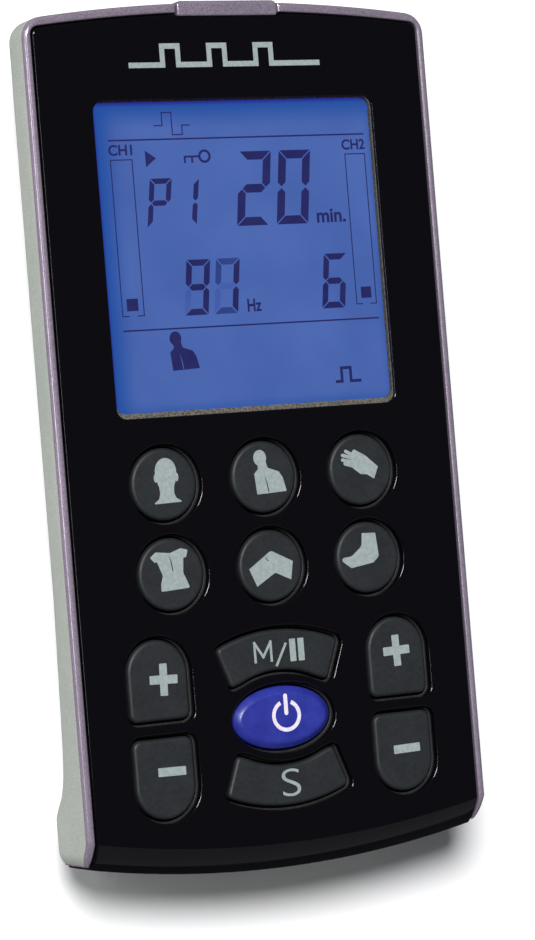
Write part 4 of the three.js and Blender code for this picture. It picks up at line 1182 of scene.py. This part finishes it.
def lcd_glow_with_painted_shadow():
    """A blue backlight that turns deeper towards its edges, over a wider band at the left and top, with a
    painted shadow of the window's edge along those two edges.
    """
    material, shader = new_material("lcd_blue_backlight_painted_shadow", Roughness=0.15, Emission_Strength=1.0)
    shader.inputs["Base Color"].default_value = srgb(8, 12, 30)
    tree = material.node_tree
    place = tree.nodes.new("ShaderNodeTexCoord")
    axes = tree.nodes.new("ShaderNodeSeparateXYZ")
    tree.links.new(place.outputs["Object"], axes.inputs["Vector"])

    def rise(source, start, end):
        remap = tree.nodes.new("ShaderNodeMapRange")
        remap.interpolation_type = "SMOOTHSTEP"
        remap.inputs["From Min"].default_value = start * MM
        remap.inputs["From Max"].default_value = end * MM
        tree.links.new(source, remap.inputs["Value"])
        return remap.outputs["Result"]

    def product(a, b):
        multiply = tree.nodes.new("ShaderNodeMath")
        multiply.operation = "MULTIPLY"
        tree.links.new(a, multiply.inputs[0])
        tree.links.new(b, multiply.inputs[1])
        return multiply.outputs["Value"]

    def mixed(factor, low, high):
        mix = tree.nodes.new("ShaderNodeMix")
        mix.data_type = "RGBA"
        tree.links.new(factor, mix.inputs["Factor"])
        for socket, colour in ((6, low), (7, high)):
            if isinstance(colour, tuple):
                mix.inputs[socket].default_value = colour
            else:
                tree.links.new(colour, mix.inputs[socket])
        return mix.outputs[2]

    # The wide band deepens the blue towards every edge, over a wider band at the left and top
    wide = product(rise(axes.outputs["X"], -21.5, -17.0), rise(axes.outputs["Y"], 47.2, 42.8))
    wide = product(wide, product(rise(axes.outputs["X"], 23.2, 20.2), rise(axes.outputs["Y"], 2.6, 6.0)))
    # The narrow band is painted shade: the shadow of the window's edge, drawn along its left and top edges
    painted_edge_shadow = product(rise(axes.outputs["X"], -21.3, -20.6), rise(axes.outputs["Y"], 47.0, 46.3))
    cloudy = ramp(tree, noise(tree, 12, 2), srgb(78, 109, 188), srgb(86, 117, 196))
    inner = mixed(wide, srgb(34, 88, 178), cloudy)
    tree.links.new(mixed(painted_edge_shadow, srgb(48, 46, 160), inner), shader.inputs["Emission Color"])
    return material


def printed_glow(name, colour):
    """Liquid crystal that blocks most of the backlight, a little unevenly."""
    material, shader = new_material(name, Roughness=0.4, Emission_Strength=1.0)
    shader.inputs["Base Color"].default_value = srgb(6, 6, 20)
    tree = material.node_tree
    lighter = tuple(min(c + 6, 255) for c in colour)
    glow = ramp(tree, noise(tree, 2.5, 2), srgb(*colour), srgb(*lighter))
    tree.links.new(glow, shader.inputs["Emission Color"])
    return material


def clear_pane():
    material, shader = new_material("clear_pane", Alpha=0.12, IOR=1.49)
    tree = material.node_tree
    tree.links.new(spread(tree, noise(tree, 9), 0.02, 0.07), shader.inputs["Roughness"])
    tint = ramp(tree, noise(tree, 6), srgb(10, 12, 16), srgb(16, 18, 22))
    tree.links.new(tint, shader.inputs["Base Color"])
    return material


SILVER_PAINT = metallic_paint("silver_sage_paint", (186, 194, 186), (198, 202, 194),
                              (205, 205, 205), (255, 255, 255), (0.34, 0.44), 0.25)
LAVENDER_PAINT = metallic_paint("lavender_silver_paint", (156, 144, 163), (167, 154, 173),
                                (185, 185, 185), (255, 255, 255), (0.15, 0.23), 0.35)
GLOSS_BLACK = plate_gloss()
# A surface takes its darkest and lightest tone, the sizes of its drift and its grain, the grain's height
# and the range of its roughness
KEY_GREY = surface("key_satin_grey", (27, 30, 33), (32, 35, 38), 3, 0.1, 0.006, (0.46, 0.6),
                   Specular_IOR_Level=0.35)
KEY_BLUE = surface("key_satin_blue", (35, 43, 132), (43, 51, 144), 3, 0.12, 0.004, (0.3, 0.42))
MARK_GREY = surface("printed_grey", (134, 146, 146), (148, 158, 158), 0.5, 0.15, 0.004, (0.5, 0.65))
MARK_PINK = surface("printed_pink_white", (208, 200, 212), (224, 216, 226), 0.5, 0.15, 0.004, (0.5, 0.65))
SEAL = surface("foam_seal", (50, 47, 42), (112, 106, 96), 0.22, 0.14, 0.06, (0.8, 0.95))
CLEAR = clear_pane()
LCD_GLOW_WITH_PAINTED_SHADOW = lcd_glow_with_painted_shadow()
LCD_DARK = printed_glow("lcd_dark_crystal", (31, 34, 100))
LCD_FADING = printed_glow("lcd_fading_crystal", (42, 66, 142))
LCD_FAINT = printed_glow("lcd_unlit_crystal", (66, 98, 180))
BLACK_PLASTIC = surface("moulded_black_plastic", (20, 20, 22), (27, 27, 29), 2, 0.12, 0.006, (0.45, 0.6))
STEEL = surface("steel", (168, 170, 174), (190, 192, 196), 1, 0.08, 0.005, (0.22, 0.38), Metallic=1.0)

SLOT_MATERIALS = {
    "housing_plastic": SILVER_PAINT,
    "silver_plastic": LAVENDER_PAINT,
    "gloss_black": GLOSS_BLACK,
    "key_grey": KEY_GREY,
    "key_blue": KEY_BLUE,
    "seal_rubber": SEAL,
    "clear_window": CLEAR,
    "lcd_glass": LCD_GLOW_WITH_PAINTED_SHADOW,
    "black_plastic": BLACK_PLASTIC,
    "steel": STEEL,
    "white_plastic": surface("moulded_white_plastic", (206, 206, 200), (216, 216, 210), 4, 0.15, 0.005,
                             (0.45, 0.55)),
    "light_guide": surface("light_guide_acrylic", (214, 224, 238), (226, 234, 246), 3, 0.3, 0.003,
                           (0.2, 0.3)),
    "silicone": surface("silicone_rubber", (176, 180, 184), (188, 191, 195), 2, 0.12, 0.008, (0.6, 0.75)),
    "circuit_board": surface("solder_mask_green", (22, 84, 50), (32, 104, 64), 1.2, 0.25, 0.012, (0.35, 0.5)),
    "transformer_tape": surface("transformer_tape", (190, 166, 52), (206, 182, 66), 1.5, 0.2, 0.01,
                                (0.4, 0.55)),
    "capacitor_sleeve": surface("capacitor_sleeve", (38, 52, 104), (48, 62, 118), 2, 0.2, 0.005, (0.28, 0.4)),
    "brass": surface("brass", (196, 158, 72), (214, 176, 88), 1, 0.08, 0.004, (0.22, 0.36), Metallic=1.0),
    "battery_wrap": surface("battery_wrap", (44, 104, 160), (52, 116, 172), 5, 0.3, 0.006, (0.28, 0.4)),
    "foam": surface("foam_pad", (52, 52, 54), (74, 74, 76), 0.5, 0.25, 0.09, (0.9, 1.0)),
}


def dress_cad_nodes():
    """Every CAD node gets its slot's material; those that a new piece replaces stay hidden."""
    slot_of = {part["node"]: part["material_slot"] for part in frame["record"]["subparts"]}
    for name, node in frame["nodes"].items():
        for holder in node.material_slots:
            holder.material = SLOT_MATERIALS[slot_of[name]]


# ---------------------------------------------------------------- floor, lights and camera

AZIMUTH, ELEVATION, ROLL = math.radians(26.65), math.radians(-0.662), math.radians(4.625)
AIM_X, AIM_Y, DISTANCE = -0.482, -0.936, 489.1  # the first row of keys, as the camera sees it
FOCAL = 134.8
FLOOR_HALF = 4000


def make_camera():
    turn = (Matrix.Rotation(ROLL, 3, "Z") @ Matrix.Rotation(ELEVATION, 3, "X")
            @ Matrix.Rotation(AZIMUTH, 3, "Y")).transposed()
    target = Vector((0, ROW_ORIGIN, KEY_TOP))
    place = target - turn @ Vector((AIM_X, AIM_Y, -DISTANCE))
    lens = bpy.data.cameras.new("camera")
    lens.lens = FOCAL
    lens.sensor_width = 36
    lens.clip_start = 0.01
    camera = bpy.data.objects.new("camera", lens)
    camera.matrix_world = Matrix.Translation(place * MM) @ turn.to_4x4()
    bpy.context.scene.collection.objects.link(camera)
    bpy.context.scene.camera = camera


def facing(place):
    """A matrix at a place whose -Z axis points at the middle of the case."""
    direction = Vector((0, 0, 10)) - Vector(place)
    return Matrix.Translation(Vector(place) * MM) @ direction.to_track_quat("-Z", "Y").to_matrix().to_4x4()


def make_light(name, kind, place, power):
    light = bpy.data.lights.new(name, kind)
    light.energy = power
    lamp = bpy.data.objects.new(name, light)
    lamp.matrix_world = facing(place)
    bpy.context.scene.collection.objects.link(lamp)
    return light


def make_panel(name, place, width, height, power):
    panel = make_light(name, "AREA", place, power)
    panel.shape = "RECTANGLE"
    panel.size = width * MM
    panel.size_y = height * MM


def make_studio():
    floor = Shell()
    floor.fill([floor.ring(box_outline(-FLOOR_HALF, FLOOR_HALF, -FLOOR_HALF, FLOOR_HALF), -0.02)])
    plane = floor.build("floor")
    white = surface("white_floor", (244, 244, 245), (249, 249, 250), 90, 3, 0.02, (0.7, 0.8))
    plane.data.materials.append(white)
    plane.visible_glossy = False
    world = bpy.data.worlds.new("studio")
    world.use_nodes = True
    world.node_tree.nodes["Background"].inputs["Color"].default_value = (0.9, 0.92, 1, 1)
    world.node_tree.nodes["Background"].inputs["Strength"].default_value = 0.05
    bpy.context.scene.world = world
    bpy.context.scene.view_settings.view_transform = "Standard"
    sun = make_light("key_light", "SUN", (-430, 425, 1000), power=4.1)
    sun.angle = math.radians(18)
    make_panel("left_strip", (-560, 150, 290), width=480, height=40, power=1.5)
    make_panel("front_panel", (270, -490, 210), width=800, height=440, power=0.25)


make_camera()
make_studio()
dress_cad_nodes()
make_faceplate()
make_rim()
make_ledge()
make_housing()
make_door()
make_port_cover()
make_screws()
make_keys()
make_window()
make_segments()
make_marks()
